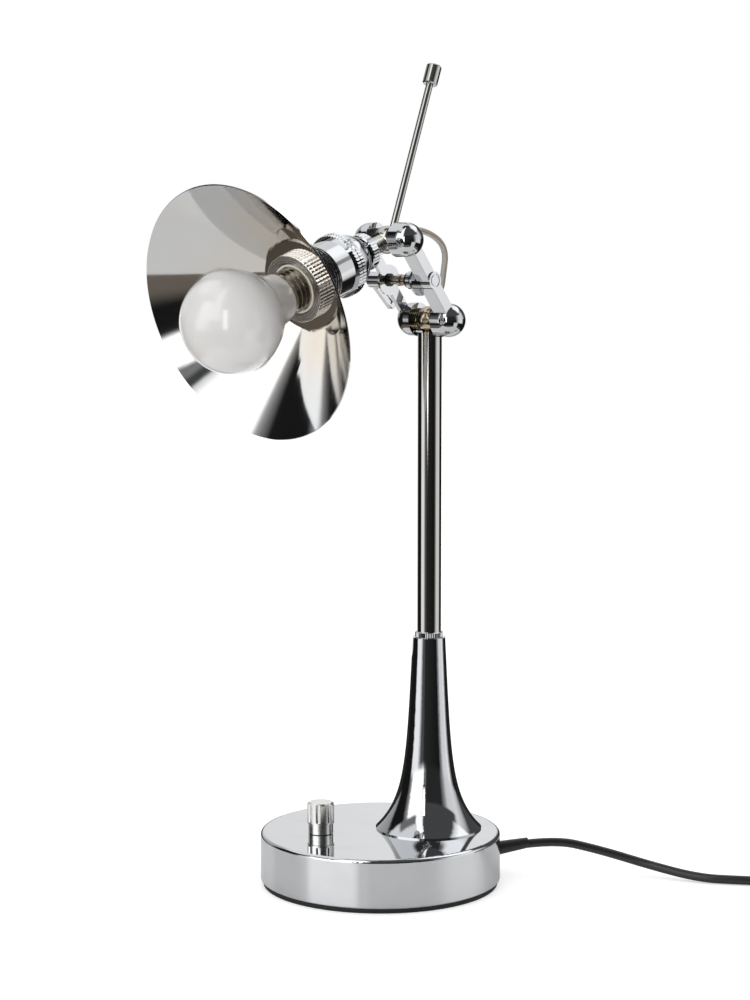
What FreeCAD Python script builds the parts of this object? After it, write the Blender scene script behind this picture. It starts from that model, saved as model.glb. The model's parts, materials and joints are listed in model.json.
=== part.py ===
"""Tabletop searchlight lamp: weighted drum base, trumpet column, ball-jointed arm and aimed reflector.

Row frame in millimetres: +Z is up, the origin is the centre of the foot pad's underside, the dimmer knob is
towards -Y and the column and the mains cord are towards +Y. The arm, the handle rod and the head lie in one
vertical plane through the post, turned about the post by AIM_TURN.
"""
import FreeCAD, Part
import math
import os

os.makedirs("parts", exist_ok=True)
V = FreeCAD.Vector
UP = V(0, 0, 1)

# Clearances
RUN_GAP = 0.05  # radial gap of a shaft that turns in its bore
BALL_GAP = 0.25  # between a ball and the pads that hold it
FREE_GAP = 0.4  # between faces of different bodies that slide past each other
BEND_SHARE = 0.45  # how much of a cable's shorter run each of its bends takes up

# Base
BASE_R = 75.0
BASE_TOP = 33.0
FOOT_H = 3.0
FOOT_INSET = 1.6
SHELL_WALL = 1.8
SHELL_EDGE = 2.2
SHELL_RIM_BEVEL = 0.7
COVER_T = 2.0
BALLAST_H = 9.0
BALLAST_GAP = 0.8
SCREW_R = 2.0
SCREW_HEAD_R = 3.6
SCREW_CIRCLE_R = 50.0
SCREW_COUNT = 3
SCREW_FIRST_ANGLE = 30.0
SCREW_LENGTH = 7.5

# Column
COLUMN_Y = 31.0
FLARE_FOOT_R = 34.0
FLARE_TOP_R = 10.2
FLARE_H = 121.4
FLARE_LIP = 0.8
FLARE_TAPER = 5.5  # how much of the flare's radius falls off evenly with height
FLARE_CURVE = 18.2  # height in which the rest falls to about a third
FLARE_WALL = 2.6
FLARE_WEB = 6.0
POST_R = 7.5
POST_WALL = 1.0
POST_SEAT = 30.0  # how far the post reaches down into the flare
RING_R = 8.7
RING_H = 3.6
RING_TEETH = 44
RING_TOOTH = 0.3
RING_BEVEL = 0.5
ROD_R = 5.0
ROD_BORE_R = 3.2
NUT_R = 8.0
NUT_H = 3.0
WASHER_R = 10.0
WASHER_T = 1.0
BUSH_H = 14.0

# Joint balls, arm and clamp
BALL_R = 8.5
LOWER_BALL_Z = 351.8
STEM_R = 4.5
STEM_END = 27.0  # from the ball's centre to the stem's lower end
POST_BELOW_BALL = 7.7
COLLAR_LENGTH = 16.0
STEM_RING_R = 5.9
STEM_RING_T = 1.6
CABLE_R = 1.9
CABLE_BORE_R = 2.3
CABLE_BORE_LEAN = 37.0
ARM_LENGTH = 62.9
ARM_LEAN = 38.9
AIM_TURN = -53.8
BARREL_R = 10.4
BARREL_MOUTH = 8.6
BARREL_STRAIGHT = 6.6
CUP_FLOOR = 15.0
PAD_R = 7.0
PAD_GAP = 0.1
PAD_FACE = 4.4
PAD_GROOVE = 0.5
PAD_GROOVE_HALF_W = 0.35
PAD_GROOVES_BACK = (2.2, 0.8)  # from the barrel's mouth
BAR_W = 8.8
BAR_INNER = 10.2
BAR_OUTER = 20.3
REAR_BAR_INNER = 15.6
REAR_BAR_T = 2.7
REAR_BARREL_STRAIGHT = 4.4
BAR_BEVEL = 1.0
BOSS_R = 5.4
BOLT_FLANGE_R = 9.4
BOLT_FLANGE_T = 1.4
BOLT_R = 1.95
BOLT_HEAD_T = 1.0
BOLT_GROOVE_BACK = 1.4  # from the head's rim to its face groove
BOLT_GROOVE_W = 0.7
BOLT_GROOVE_DEPTH = 0.4
BOLT_TAIL = 36.0
WASHER_BLACK_R = 4.6
WASHER_BLACK_T = 2.2
REAR_WASHER_R = 4.0
REAR_WASHER_T = 1.0
DISC_R = 5.5
DISC_T = 2.6
DISC_HUB_R = 4.2
SLEEVE_R = 2.7
SLEEVE_BUMP_R = 3.6
SLEEVE_FRONT = -0.5
BUMP_Y = -6.6
BUMP_W = 2.6
LEVER_HUB_R = 5.0
LEVER_HUB_T = 9.6
LEVER_LENGTH = 22.5
LEVER_W = 6.0
LEVER_T = 3.0
LEVER_SKEW = 8.0
LEVER_SLOT_W = 2.2
LEVER_SLOT_DEPTH = 0.7

# Handle rod
HANDLE_R = 2.2
HANDLE_REACH = 114.0
HANDLE_LEAN = 21.1
HANDLE_BEHIND = 2.4  # the rod's axis passes behind the ball's centre by this
HANDLE_SEAT = 6.5
HANDLE_TIP_R = 4.7
HANDLE_TIP_H = 12.5
HANDLE_TIP_BEVEL = 0.7

# Head, measured from the upper ball's centre along the head's axis
HEAD_DIP = 19.2
NECK_R = 5.2
HUB_START = 19.0
HUB_R = 8.0
SPIGOT_R = 4.0
SPIGOT_END = 30.5
SPIGOT_FLANGE_R = 5.6
SPIGOT_FLANGE_T = 2.0
LOCK_RING_START = 20.2
LOCK_RING_R = 11.5
LOCK_RING_T = 6.0
LOCK_RING_TEETH = 36
LOCK_RING_TOOTH = 0.4
LOCK_RING_BEVEL = 0.8
CAP_SHOULDER = 27.5
CAP_END = 43.0
CAP_R = 16.6
CAP_WALL = 1.8
HOLDER_RING_R = 19.5
HOLDER_RING_T = 6.4
HOLDER_RING_TEETH = 60
HEAD_RING_TOOTH = 0.5
HEAD_RING_BEVEL = 0.5
SKIRT_R = 17.5
SKIRT_WALL = 1.4
SKIRT_END = 75.1
THREAD_LENGTH = 12.0
THREAD_RIDGES = 6
FLANGE_R = 19.0
SHADE_SEAT = 79.6
SHADE_T = 0.8
SHADE_NECK_R = 27.5
SHADE_RIM_R = 77.0
SHADE_RIM_T = 128.0
SHADE_HOLE_GAP = 0.15
NOSE_R = 15.6
NOSE_END = 85.7
SHADE_RING_R = 20.6
SHADE_RING_T = 6.2
SHADE_RING_TEETH = 56
INSERT_WALL = 1.04
INSERT_START = 68.0
INSERT_END = 86.3
INSERT_FLOOR = 2.5
TONGUE_T = 0.6
RIVET_R = 1.1
LAMP_CAP_R = 13.2
SLEEVE_WALL = 0.4
LAMP_FOOT_T = 73.0
LAMP_FOOT_R = 3.2
LAMP_FOOT_H = 2.0
LAMP_CAP_LENGTH = 27.0
LAMP_THREAD_PITCH = 3.6
LAMP_THREAD_DEPTH = 0.9
LAMP_THREAD_START = 5.0  # above the foot contact
LAMP_NECK_R = 14.6
GLOBE_R = 29.8
GLOBE_T = 139.5
GLOBE_SEAM_T = 118.0
GLOBE_WALL = 1.2

# Dimmer
DIMMER_Y = -38.0
DIMMER_SIDE = 24.0
DIMMER_H = 12.0
DIMMER_BUSH_R = 4.0
DIMMER_BUSH_H = 4.2
DIMMER_NUT_R = 5.8
DIMMER_NUT_H = 2.0
SHAFT_R = 3.0
SHAFT_DEPTH = 7.0
KNOB_COLLAR_R = 7.75
KNOB_COLLAR_H = 6.3
KNOB_R = 8.4
KNOB_H = 19.3
KNOB_FLUTES = 8
KNOB_FLUTE_R = 2.0
KNOB_BEVEL = 1.1
KNOB_WALL = 1.2
KNOB_GROOVE_W = 0.4
KNOB_GROOVE_DEPTH = 0.5

# Wiring inside
LEAD_R = 1.0
POST_LEAD_R = 1.9
BLOCK_SIZE = (16.0, 12.0, 9.0)
BLOCK_X = 30.0
BLOCK_HOLE_R = 1.6
BLOCK_HOLE_DEPTH = 3.0

# Mains cord: the route of its uncoiled stretch, in row coordinates
CORD_R = 2.75
CORD_EXIT_Z = 17.0
CORD_ROUTE = [
    (0.0, BASE_R, CORD_EXIT_Z),
    (0.3, 110.5, 21.6),
    (9.6, 141.1, 14.8),
    (24.0, 170.7, 6.6),
    (44.5, 195.0, CORD_R),
    (54.4, 217.4, CORD_R),
    (63.7, 242.0, CORD_R),
    (70.1, 269.3, CORD_R),
]
RELIEF_R = 4.4
RELIEF_TIP_R = 3.3
RELIEF_LENGTH = 21.0
RELIEF_FLANGE_R = 5.4
RELIEF_FLANGE_T = 1.2
RELIEF_INSIDE = 6.0
COIL_MID_R = 31.0
COIL_COLUMNS = 3
COIL_LAYERS = 3
COIL_ENTRY_ANGLE = -12.0
PLUG_LENGTH = 35.0
PLUG_W = 26.0
PLUG_H = 13.7
PLUG_SET_OFF = 6.0
PLUG_EDGE = 1.5
PLUG_NECK_W = 8.8
PLUG_SHOULDER_W = 20.3
PIN_R = 2.0
PIN_LENGTH = 19.0
PIN_SPACING = 19.0

# Arm cable: its route in the arm's plane, as steps forward and up from each ball
CABLE_FROM_UPPER = [(-7.2, 1.85), (-23.5, 6.85), (-38.5, 4.25)]
CABLE_FROM_LOWER = [(-9.8, 46.5), (-14.4, 36.7), (-12.9, 28.7), (-11.0, 18.6), (-4.0, 4.8)]
CABLE_MEET = 5  # the point of the whole route where the upper and the lower stretch meet

# Worked out from the sizes above
LOWER_BALL = V(0, COLUMN_Y, LOWER_BALL_Z)
POST_TOP = LOWER_BALL_Z - POST_BELOW_BALL
FLARE_TOP = BASE_TOP + FLARE_H
POST_BOTTOM = FLARE_TOP - POST_SEAT
COVER_TOP = FOOT_H + COVER_T
BALLAST_TOP = COVER_TOP + BALLAST_H
SHELL_INNER_R = BASE_R - SHELL_WALL
SHELL_CEILING = BASE_TOP - SHELL_WALL
ARM_MIDDLE = ARM_LENGTH / 2
SHADE_FRONT = SHADE_SEAT + SHADE_T
COIL_OUT_R = COIL_MID_R + (COIL_COLUMNS - 1) * CORD_R
COIL_IN_R = COIL_MID_R - (COIL_COLUMNS - 1) * CORD_R
COIL_H = COIL_LAYERS * 2 * CORD_R
AIM = FreeCAD.Placement(V(0, COLUMN_Y, 0), FreeCAD.Rotation(UP, AIM_TURN))
ARM_PLACE = AIM.multiply(
    FreeCAD.Placement(V(0, 0, LOWER_BALL_Z), FreeCAD.Rotation(V(0, 1, 0), ARM_LEAN))
)
UPPER_BALL = ARM_PLACE.multVec(V(0, 0, ARM_LENGTH))


def placed(shape, placement):
    """A copy of the shape moved by a placement."""
    copy = shape.copy()
    copy.Placement = placement.multiply(copy.Placement)
    return copy


def upper_place(lean):
    """The placement at the upper ball whose Z axis leans forward by that many degrees."""
    turn = FreeCAD.Rotation(UP, AIM_TURN).multiply(FreeCAD.Rotation(V(0, 1, 0), lean))
    return FreeCAD.Placement(UPPER_BALL, turn)


HEAD_PLACE = upper_place(90 + HEAD_DIP)
HANDLE_PLACE = upper_place(-HANDLE_LEAN).multiply(
    FreeCAD.Placement(V(-HANDLE_BEHIND, 0, 0), FreeCAD.Rotation())
)


def disc(radius, low, high, x=0.0, y=0.0):
    """An upright cylinder from one height to another."""
    return Part.makeCylinder(radius, high - low, V(x, y, low))


def ring(outer, inner, low, high, x=0.0, y=0.0):
    """An upright tube from one height to another."""
    return disc(outer, low, high, x, y).cut(disc(inner, low - 1, high + 1, x, y))


def rod_y(radius, start, end, z=0.0):
    """A cylinder along Y at x = 0."""
    return Part.makeCylinder(radius, end - start, V(0, start, z), V(0, 1, 0))


def turned(points):
    """A solid of revolution about Z from a closed outline of (radius, height) corners."""
    corners = [V(r, 0, z) for r, z in points]
    face = Part.Face(Part.makePolygon(corners + corners[:1]))
    return face.revolve(V(0, 0, 0), UP, 360)


def turned_edges(edges):
    """A solid of revolution about Z from the edges of a closed outline in the XZ plane."""
    return Part.Face(Part.Wire(edges)).revolve(V(0, 0, 0), UP, 360)


def line(a, b):
    return Part.LineSegment(a, b).toShape()


def bevelled(radius, low, high, bevel):
    """A cylinder with both rims bevelled, for trimming toothed rings."""
    return turned(
        [
            (0, low),
            (radius - bevel, low),
            (radius, low + bevel),
            (radius, high - bevel),
            (radius - bevel, high),
            (0, high),
        ]
    )


def toothed(radius, inner, low, high, teeth, depth, bevel):
    """A ring with straight serrations round its rim and bevelled edges."""
    corners = []
    for i in range(2 * teeth):
        reach = radius if i % 2 == 0 else radius - depth
        angle = math.pi * i / teeth
        corners.append(V(reach * math.cos(angle), reach * math.sin(angle), low))
    blank = Part.Face(Part.makePolygon(corners + corners[:1])).extrude(V(0, 0, high - low))
    return blank.common(bevelled(radius, low, high, bevel)).cut(disc(inner, low - 1, high + 1))


def hexagon(corner_r, low, high, x=0.0, y=0.0):
    """A hexagonal prism, as a nut's outside."""
    corners = []
    for i in range(7):
        angle = math.radians(60 * i)
        corners.append(V(x + corner_r * math.cos(angle), y + corner_r * math.sin(angle), low))
    return Part.Face(Part.makePolygon(corners)).extrude(V(0, 0, high - low))


def rounded_path(points):
    """A wire of straight runs joined by tangent arcs, each as large as its two runs allow."""
    edges = []
    radii = []
    here = points[0]
    for before, corner, after in zip(points, points[1:], points[2:]):
        to_before = (before - corner).normalize()
        to_after = (after - corner).normalize()
        shorter = min((before - corner).Length, (after - corner).Length)
        reach = BEND_SHARE * shorter
        half_turn = (math.pi - to_before.getAngle(to_after)) / 2
        radii.append(reach / math.tan(half_turn))
        start = corner + to_before * reach
        end = corner + to_after * reach
        middle_way = (to_before + to_after).normalize()
        centre_off = math.hypot(reach, radii[-1])
        middle = corner + middle_way * (centre_off - radii[-1])
        edges.append(line(here, start))
        edges.append(Part.Arc(start, middle, end).toShape())
        here = end
    edges.append(line(here, points[-1]))
    return Part.Wire(edges), radii


def tube_along(points, radius, name):
    """A solid round tube along a rounded path; prints its bends and its volume against its length."""
    path, radii = rounded_path(points)
    start = points[0]
    profile = Part.Wire(Part.makeCircle(radius, start, points[1] - start))
    tube = path.makePipeShell([profile], True, False)
    expected = math.pi * radius**2 * path.Length
    print(
        name,
        "length",
        round(path.Length, 1),
        "volume ratio",
        round(tube.Volume / expected, 4),
        "bend radii",
        [round(r, 1) for r in radii],
    )
    return tube


# ---------------------------------------------------------------- base


def base_shell():
    """Drum with a rounded top edge, open below, holed for the column rod, the dimmer and the cord."""
    inner_edge = max(SHELL_EDGE - SHELL_WALL, 0.3)
    wall_out = V(BASE_R, 0, BASE_TOP - SHELL_EDGE)
    wall_in = V(SHELL_INNER_R, 0, SHELL_CEILING - inner_edge)
    turn = math.sqrt(0.5)
    outer_mid = V(BASE_R - SHELL_EDGE * (1 - turn), 0, BASE_TOP - SHELL_EDGE * (1 - turn))
    inner_mid = V(SHELL_INNER_R - inner_edge * (1 - turn), 0, SHELL_CEILING - inner_edge * (1 - turn))
    top_out = V(BASE_R - SHELL_EDGE, 0, BASE_TOP)
    top_in = V(SHELL_INNER_R - inner_edge, 0, SHELL_CEILING)
    rim_out = V(BASE_R, 0, FOOT_H + SHELL_RIM_BEVEL)
    rim_low = V(BASE_R - SHELL_RIM_BEVEL, 0, FOOT_H)
    rim_in = V(SHELL_INNER_R, 0, FOOT_H)
    edges = [
        line(rim_in, rim_low),
        line(rim_low, rim_out),
        line(rim_out, wall_out),
        Part.Arc(wall_out, outer_mid, top_out).toShape(),
        line(top_out, V(0, 0, BASE_TOP)),
        line(V(0, 0, BASE_TOP), V(0, 0, SHELL_CEILING)),
        line(V(0, 0, SHELL_CEILING), top_in),
        Part.Arc(top_in, inner_mid, wall_in).toShape(),
        line(wall_in, rim_in),
    ]
    shell = turned_edges(edges)
    shell = shell.cut(disc(ROD_R + RUN_GAP, SHELL_CEILING - 1, BASE_TOP + 1, 0, COLUMN_Y))
    shell = shell.cut(disc(DIMMER_BUSH_R + RUN_GAP, SHELL_CEILING - 1, BASE_TOP + 1, 0, DIMMER_Y))
    return shell.cut(rod_y(RELIEF_R + RUN_GAP, SHELL_INNER_R - 5, BASE_R + 5, CORD_EXIT_Z))


def screw_places():
    """The cover screws' places round the base."""
    for i in range(SCREW_COUNT):
        angle = math.radians(SCREW_FIRST_ANGLE + 360 * i / SCREW_COUNT)
        yield SCREW_CIRCLE_R * math.cos(angle), SCREW_CIRCLE_R * math.sin(angle)


def base_ballast():
    """Cast disc that keeps the lamp upright, with a pocket for the rod's lower nut."""
    ballast = disc(SHELL_INNER_R - BALLAST_GAP, COVER_TOP, BALLAST_TOP)
    pocket_top = COVER_TOP + WASHER_T + NUT_H + FREE_GAP
    ballast = ballast.cut(disc(WASHER_R + 1, COVER_TOP - 1, pocket_top, 0, COLUMN_Y))
    ballast = ballast.cut(disc(ROD_R + RUN_GAP, COVER_TOP, BALLAST_TOP + 1, 0, COLUMN_Y))
    for x, y in screw_places():
        ballast = ballast.cut(disc(SCREW_R, COVER_TOP - 1, FOOT_H + SCREW_LENGTH, x, y))
    relief_back = SHELL_INNER_R - RELIEF_INSIDE - FREE_GAP
    return ballast.cut(rod_y(RELIEF_FLANGE_R + FREE_GAP, relief_back, BASE_R, CORD_EXIT_Z))


def screw_shape(x, y):
    """A flat-headed screw whose head lies flush in the cover."""
    depth = SCREW_HEAD_R - SCREW_R
    head = Part.makeCone(SCREW_HEAD_R, SCREW_R, depth, V(x, y, FOOT_H))
    return head.fuse(disc(SCREW_R, FOOT_H + depth, FOOT_H + SCREW_LENGTH, x, y))


def base_cover():
    cover = disc(SHELL_INNER_R - RUN_GAP, FOOT_H, COVER_TOP)
    for x, y in screw_places():
        cover = cover.cut(screw_shape(x, y))
    return cover


def foot_pad():
    """Soft pad under the whole base, set in a little from the drum's wall."""
    return disc(BASE_R - FOOT_INSET, 0, FOOT_H)


def cover_screws():
    return Part.makeCompound([screw_shape(x, y) for x, y in screw_places()])


# ---------------------------------------------------------------- column


def flare_radius(height):
    """The trumpet's outer radius at a height above the base top."""
    curved = FLARE_FOOT_R - FLARE_TOP_R - FLARE_TAPER
    return FLARE_TOP_R + FLARE_TAPER * (1 - height / FLARE_H) + curved * math.exp(-height / FLARE_CURVE)


def flare_curve(offset, low, high, steps):
    """The trumpet's side as one smooth curve, moved in by offset."""
    points = []
    for i in range(steps + 1):
        height = low + (high - low) * (i / steps) ** 1.5
        points.append(V(flare_radius(height) - offset, 0, BASE_TOP + height))
    curve = Part.BSplineCurve()
    curve.interpolate(points)
    return curve.toShape(), points[0], points[-1]


def column_flare():
    """Trumpet-shaped column foot, hollow below, with a web that the post stands on."""
    side, low, high = flare_curve(0, FLARE_LIP, FLARE_H, 12)
    foot = V(low.x, 0, BASE_TOP)
    outer = turned_edges(
        [
            line(V(0, 0, BASE_TOP), foot),
            line(foot, low),
            side,
            line(high, V(0, 0, FLARE_TOP)),
            line(V(0, 0, FLARE_TOP), V(0, 0, BASE_TOP)),
        ]
    )
    web_under = POST_BOTTOM - FLARE_WEB - BASE_TOP
    side, low, high = flare_curve(FLARE_WALL, 0, web_under, 10)
    hollow = turned_edges(
        [
            line(V(0, 0, low.z), low),
            side,
            line(high, V(0, 0, high.z)),
            line(V(0, 0, high.z), V(0, 0, low.z)),
        ]
    )
    flare = outer.cut(hollow)
    flare = flare.cut(disc(POST_R + RUN_GAP, POST_BOTTOM, FLARE_TOP + 1))
    flare = flare.cut(disc(ROD_R + RUN_GAP, BASE_TOP, FLARE_TOP))
    flare.translate(V(0, COLUMN_Y, 0))
    return flare


def column_ring():
    """Knurled ring that covers the joint of the flare and the post."""
    ring_shape = toothed(RING_R, POST_R + RUN_GAP, FLARE_TOP, FLARE_TOP + RING_H, RING_TEETH, RING_TOOTH, RING_BEVEL)
    ring_shape.translate(V(0, COLUMN_Y, 0))
    return ring_shape


def post_tube():
    return ring(POST_R, POST_R - POST_WALL, POST_BOTTOM, POST_TOP, 0, COLUMN_Y)


def post_bush():
    """Threaded bush fixed in the post's lower end."""
    return ring(POST_R - POST_WALL, ROD_R, POST_BOTTOM, POST_BOTTOM + BUSH_H, 0, COLUMN_Y)


def column_rod():
    """Hollow threaded rod from the ballast up into the post's bush."""
    return ring(ROD_R, ROD_BORE_R, COVER_TOP + FREE_GAP, POST_BOTTOM + BUSH_H, 0, COLUMN_Y)


def column_nuts():
    """Nut and washer under the ballast, and the same under the base top."""
    nuts = []
    for face in (COVER_TOP + WASHER_T + NUT_H + FREE_GAP, SHELL_CEILING):
        washer = ring(WASHER_R, ROD_R + RUN_GAP, face - WASHER_T, face, 0, COLUMN_Y)
        nut = hexagon(NUT_R, face - WASHER_T - NUT_H, face - WASHER_T, 0, COLUMN_Y)
        nut = nut.cut(disc(ROD_R, face - 10, face, 0, COLUMN_Y))
        nuts += [washer, nut]
    return Part.makeCompound(nuts)


def post_collar():
    """Brass bush in the post's top, bored for the lower ball's stem."""
    return ring(POST_R - POST_WALL, STEM_R + RUN_GAP, POST_TOP - COLLAR_LENGTH, POST_TOP, 0, COLUMN_Y)


# ---------------------------------------------------------------- dimmer and wiring


def dimmer_body():
    """Dimmer module hung under the base top."""
    half = DIMMER_SIDE / 2
    low = SHELL_CEILING - DIMMER_H
    body = Part.makeBox(DIMMER_SIDE, DIMMER_SIDE, DIMMER_H, V(-half, DIMMER_Y - half, low))
    return body.cut(disc(SHAFT_R + RUN_GAP, SHELL_CEILING - SHAFT_DEPTH, BASE_TOP, 0, DIMMER_Y))


def dimmer_bush():
    """Threaded bush of the dimmer with the nut that holds it to the base top."""
    bore = SHAFT_R + RUN_GAP
    bush = ring(DIMMER_BUSH_R, bore, SHELL_CEILING, BASE_TOP + DIMMER_BUSH_H, 0, DIMMER_Y)
    nut = hexagon(DIMMER_NUT_R, BASE_TOP, BASE_TOP + DIMMER_NUT_H, 0, DIMMER_Y)
    return bush.fuse(nut.cut(disc(bore, BASE_TOP - 1, BASE_TOP + DIMMER_NUT_H + 1, 0, DIMMER_Y)))


def dimmer_knob():
    """Knob with a plain collar, a fluted grip and a scalloped crown, hollow over the dimmer's nut."""
    low = BASE_TOP + FREE_GAP
    step = low + KNOB_COLLAR_H
    high = low + KNOB_H
    knob = turned(
        [
            (0, low),
            (KNOB_COLLAR_R, low),
            (KNOB_COLLAR_R, step - KNOB_GROOVE_W),
            (KNOB_COLLAR_R - KNOB_GROOVE_DEPTH, step - KNOB_GROOVE_W),
            (KNOB_COLLAR_R - KNOB_GROOVE_DEPTH, step),
            (KNOB_R, step),
            (KNOB_R, high - KNOB_BEVEL),
            (KNOB_R - KNOB_BEVEL, high),
            (0, high),
        ]
    )
    flute_out = KNOB_R + KNOB_FLUTE_R * 0.55
    for i in range(KNOB_FLUTES):
        angle = 2 * math.pi * (i + 0.5) / KNOB_FLUTES
        x = flute_out * math.cos(angle)
        y = flute_out * math.sin(angle)
        knob = knob.cut(disc(KNOB_FLUTE_R, step + 1.0, high + 1, x, y))
    knob = knob.cut(disc(KNOB_COLLAR_R - KNOB_WALL, low - 1, BASE_TOP + DIMMER_BUSH_H + FREE_GAP))
    knob = knob.cut(disc(SHAFT_R, low, high - 2 * KNOB_WALL))
    knob.translate(V(0, DIMMER_Y, 0))
    return knob


def dimmer_shaft():
    low = SHELL_CEILING - SHAFT_DEPTH + FREE_GAP
    return disc(SHAFT_R, low, BASE_TOP + FREE_GAP + KNOB_H - 2 * KNOB_WALL, 0, DIMMER_Y)


def block_corner():
    return V(BLOCK_X - BLOCK_SIZE[0] / 2, -BLOCK_SIZE[1] / 2, BALLAST_TOP)


def terminal_block():
    """Screw terminals on the ballast, where the cord meets the inner leads."""
    block = Part.makeBox(*BLOCK_SIZE, block_corner())
    top = BALLAST_TOP + BLOCK_SIZE[2]
    for side in (-1, 1):
        block = block.cut(disc(BLOCK_HOLE_R, top - BLOCK_HOLE_DEPTH, top + 1, BLOCK_X, side * BLOCK_SIZE[1] / 4))
    return block


def base_leads():
    """Leads in the base: cord to block, block to dimmer, and dimmer to the hollow rod."""
    height = BALLAST_TOP + BLOCK_SIZE[2] / 2
    block_rear = BLOCK_SIZE[1] / 2
    half = DIMMER_SIDE / 2
    dimmer_low = SHELL_CEILING - DIMMER_H + 3
    from_cord = [
        V(0, SHELL_INNER_R - RELIEF_INSIDE, CORD_EXIT_Z),
        V(10, SHELL_INNER_R - 18, CORD_EXIT_Z),
        V(BLOCK_X - 6, COLUMN_Y + 1, height + 0.5),
        V(BLOCK_X, block_rear, height),
    ]
    to_dimmer = [
        V(BLOCK_X, -block_rear, height),
        V(BLOCK_X - 3, -22, height),
        V(half + 6, DIMMER_Y + 4, dimmer_low),
        V(half, DIMMER_Y, dimmer_low),
    ]
    to_rod = [
        V(-half, DIMMER_Y, dimmer_low),
        V(-half - 10, DIMMER_Y + 12, dimmer_low - 2),
        V(-20, COLUMN_Y - 30, BALLAST_TOP + 2.4),
        V(-ROD_R - 7, COLUMN_Y - 8, BALLAST_TOP + 2.2),
        V(-ROD_R, COLUMN_Y, BALLAST_TOP + 4),
    ]
    around = [terminal_block(), dimmer_body(), column_rod(), cord_relief()]
    leads = []
    for number, route in enumerate((from_cord, to_dimmer, to_rod)):
        leads.append(tube_along(route, LEAD_R, f"lead_{number}").cut(around))
    return Part.makeCompound(leads)


def post_lead():
    """Two-core lead from the hollow rod up the post to the lower ball's stem."""
    return disc(POST_LEAD_R, BALLAST_TOP, LOWER_BALL_Z - STEM_END, 0, COLUMN_Y)


# ---------------------------------------------------------------- mains cord


def cord_direction():
    return (V(*CORD_ROUTE[1]) - V(*CORD_ROUTE[0])).normalize()


def cord_relief():
    """Tapered strain relief that holds the cord in the base's rear wall."""
    exit_point = V(*CORD_ROUTE[0])
    sleeve = Part.makeCone(RELIEF_R, RELIEF_TIP_R, RELIEF_LENGTH, exit_point, cord_direction())
    flange = rod_y(RELIEF_FLANGE_R, BASE_R, BASE_R + RELIEF_FLANGE_T, CORD_EXIT_Z)
    throat = rod_y(RELIEF_R, SHELL_INNER_R - RELIEF_INSIDE, BASE_R + RELIEF_FLANGE_T, CORD_EXIT_Z)
    stop_back = SHELL_INNER_R - FREE_GAP
    stop = rod_y(RELIEF_FLANGE_R, stop_back - RELIEF_FLANGE_T, stop_back, CORD_EXIT_Z)
    body = sleeve.fuse([flange, throat, stop])
    bore = Part.makeCylinder(CORD_R, RELIEF_LENGTH + 20, exit_point, cord_direction())
    inner_bore = rod_y(LEAD_R, SHELL_INNER_R - RELIEF_INSIDE - 1, BASE_R, CORD_EXIT_Z)
    return body.cut(bore).cut(inner_bore)


def mains_cord():
    return tube_along([V(*point) for point in CORD_ROUTE], CORD_R, "mains_cord")


def coil_centre():
    """The coil's centre, where the route's end lies on the outermost turn."""
    end = V(*CORD_ROUTE[-1])
    angle = math.radians(COIL_ENTRY_ANGLE)
    return V(end.x - COIL_OUT_R * math.cos(angle), end.y - COIL_OUT_R * math.sin(angle), 0)


def cord_coil():
    """The neat coil of the cord put away, as one solid of its outer shape."""
    centre = coil_centre()
    return ring(COIL_OUT_R + CORD_R, COIL_IN_R - CORD_R, 0, COIL_H, centre.x, centre.y)


def coil_point(angle_deg, radius, height, along=0.0):
    """A point on the coil, and further along the tangent there."""
    angle = math.radians(COIL_ENTRY_ANGLE + angle_deg)
    centre = coil_centre()
    return V(
        centre.x + radius * math.cos(angle) - along * math.sin(angle),
        centre.y + radius * math.sin(angle) + along * math.cos(angle),
        height,
    )


def plug_axis():
    """The plug's cord end and its direction, on top of the coil."""
    height = COIL_H + PLUG_H / 2
    start = coil_point(90, COIL_IN_R, height, PLUG_SET_OFF)
    ahead = coil_point(90, COIL_IN_R, height, PLUG_SET_OFF + 1)
    return start, ahead - start


def plug_lead():
    """The last stretch of cord, which rises from the coil's top turn into the plug."""
    low = COIL_H - CORD_R
    high = COIL_H + PLUG_H / 2
    rise = high - low
    start, ahead = plug_axis()
    route = [
        coil_point(5, COIL_IN_R, low + 0.12 * rise),
        coil_point(38, COIL_IN_R, low + 0.5 * rise),
        coil_point(72, COIL_IN_R, low + 0.94 * rise),
        start,
    ]
    return tube_along(route, CORD_R, "plug_lead").cut(plug_body())


def plug_place():
    start, ahead = plug_axis()
    turn = math.degrees(math.atan2(ahead.y, ahead.x)) - 90
    return FreeCAD.Placement(start, FreeCAD.Rotation(UP, turn))


def plug_body():
    """Flat two-pin plug body, six-sided in plan and narrower at the cord."""
    half_sides = [
        (PLUG_NECK_W / 2, 0),
        (PLUG_SHOULDER_W / 2, PLUG_LENGTH * 0.45),
        (PLUG_W / 2, PLUG_LENGTH * 0.72),
        (PLUG_W / 2, PLUG_LENGTH),
    ]
    right = [V(x, y, -PLUG_H / 2) for x, y in half_sides]
    left = [V(-x, y, -PLUG_H / 2) for x, y in reversed(half_sides)]
    outline = right + left
    body = Part.Face(Part.makePolygon(outline + outline[:1])).extrude(V(0, 0, PLUG_H))
    body = body.makeFillet(PLUG_EDGE, body.Edges)
    return placed(body, plug_place())


def plug_pins():
    """Two round pins in the plug's face."""
    pins = []
    for side in (-1, 1):
        foot = V(side * PIN_SPACING / 2, PLUG_LENGTH, 0)
        shank = Part.makeCylinder(PIN_R, PIN_LENGTH - PIN_R, foot, V(0, 1, 0))
        tip = Part.makeSphere(PIN_R, foot + V(0, PIN_LENGTH - PIN_R, 0))
        pins.append(placed(shank.fuse(tip), plug_place()))
    return Part.makeCompound(pins)


# ---------------------------------------------------------------- lower ball


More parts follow.
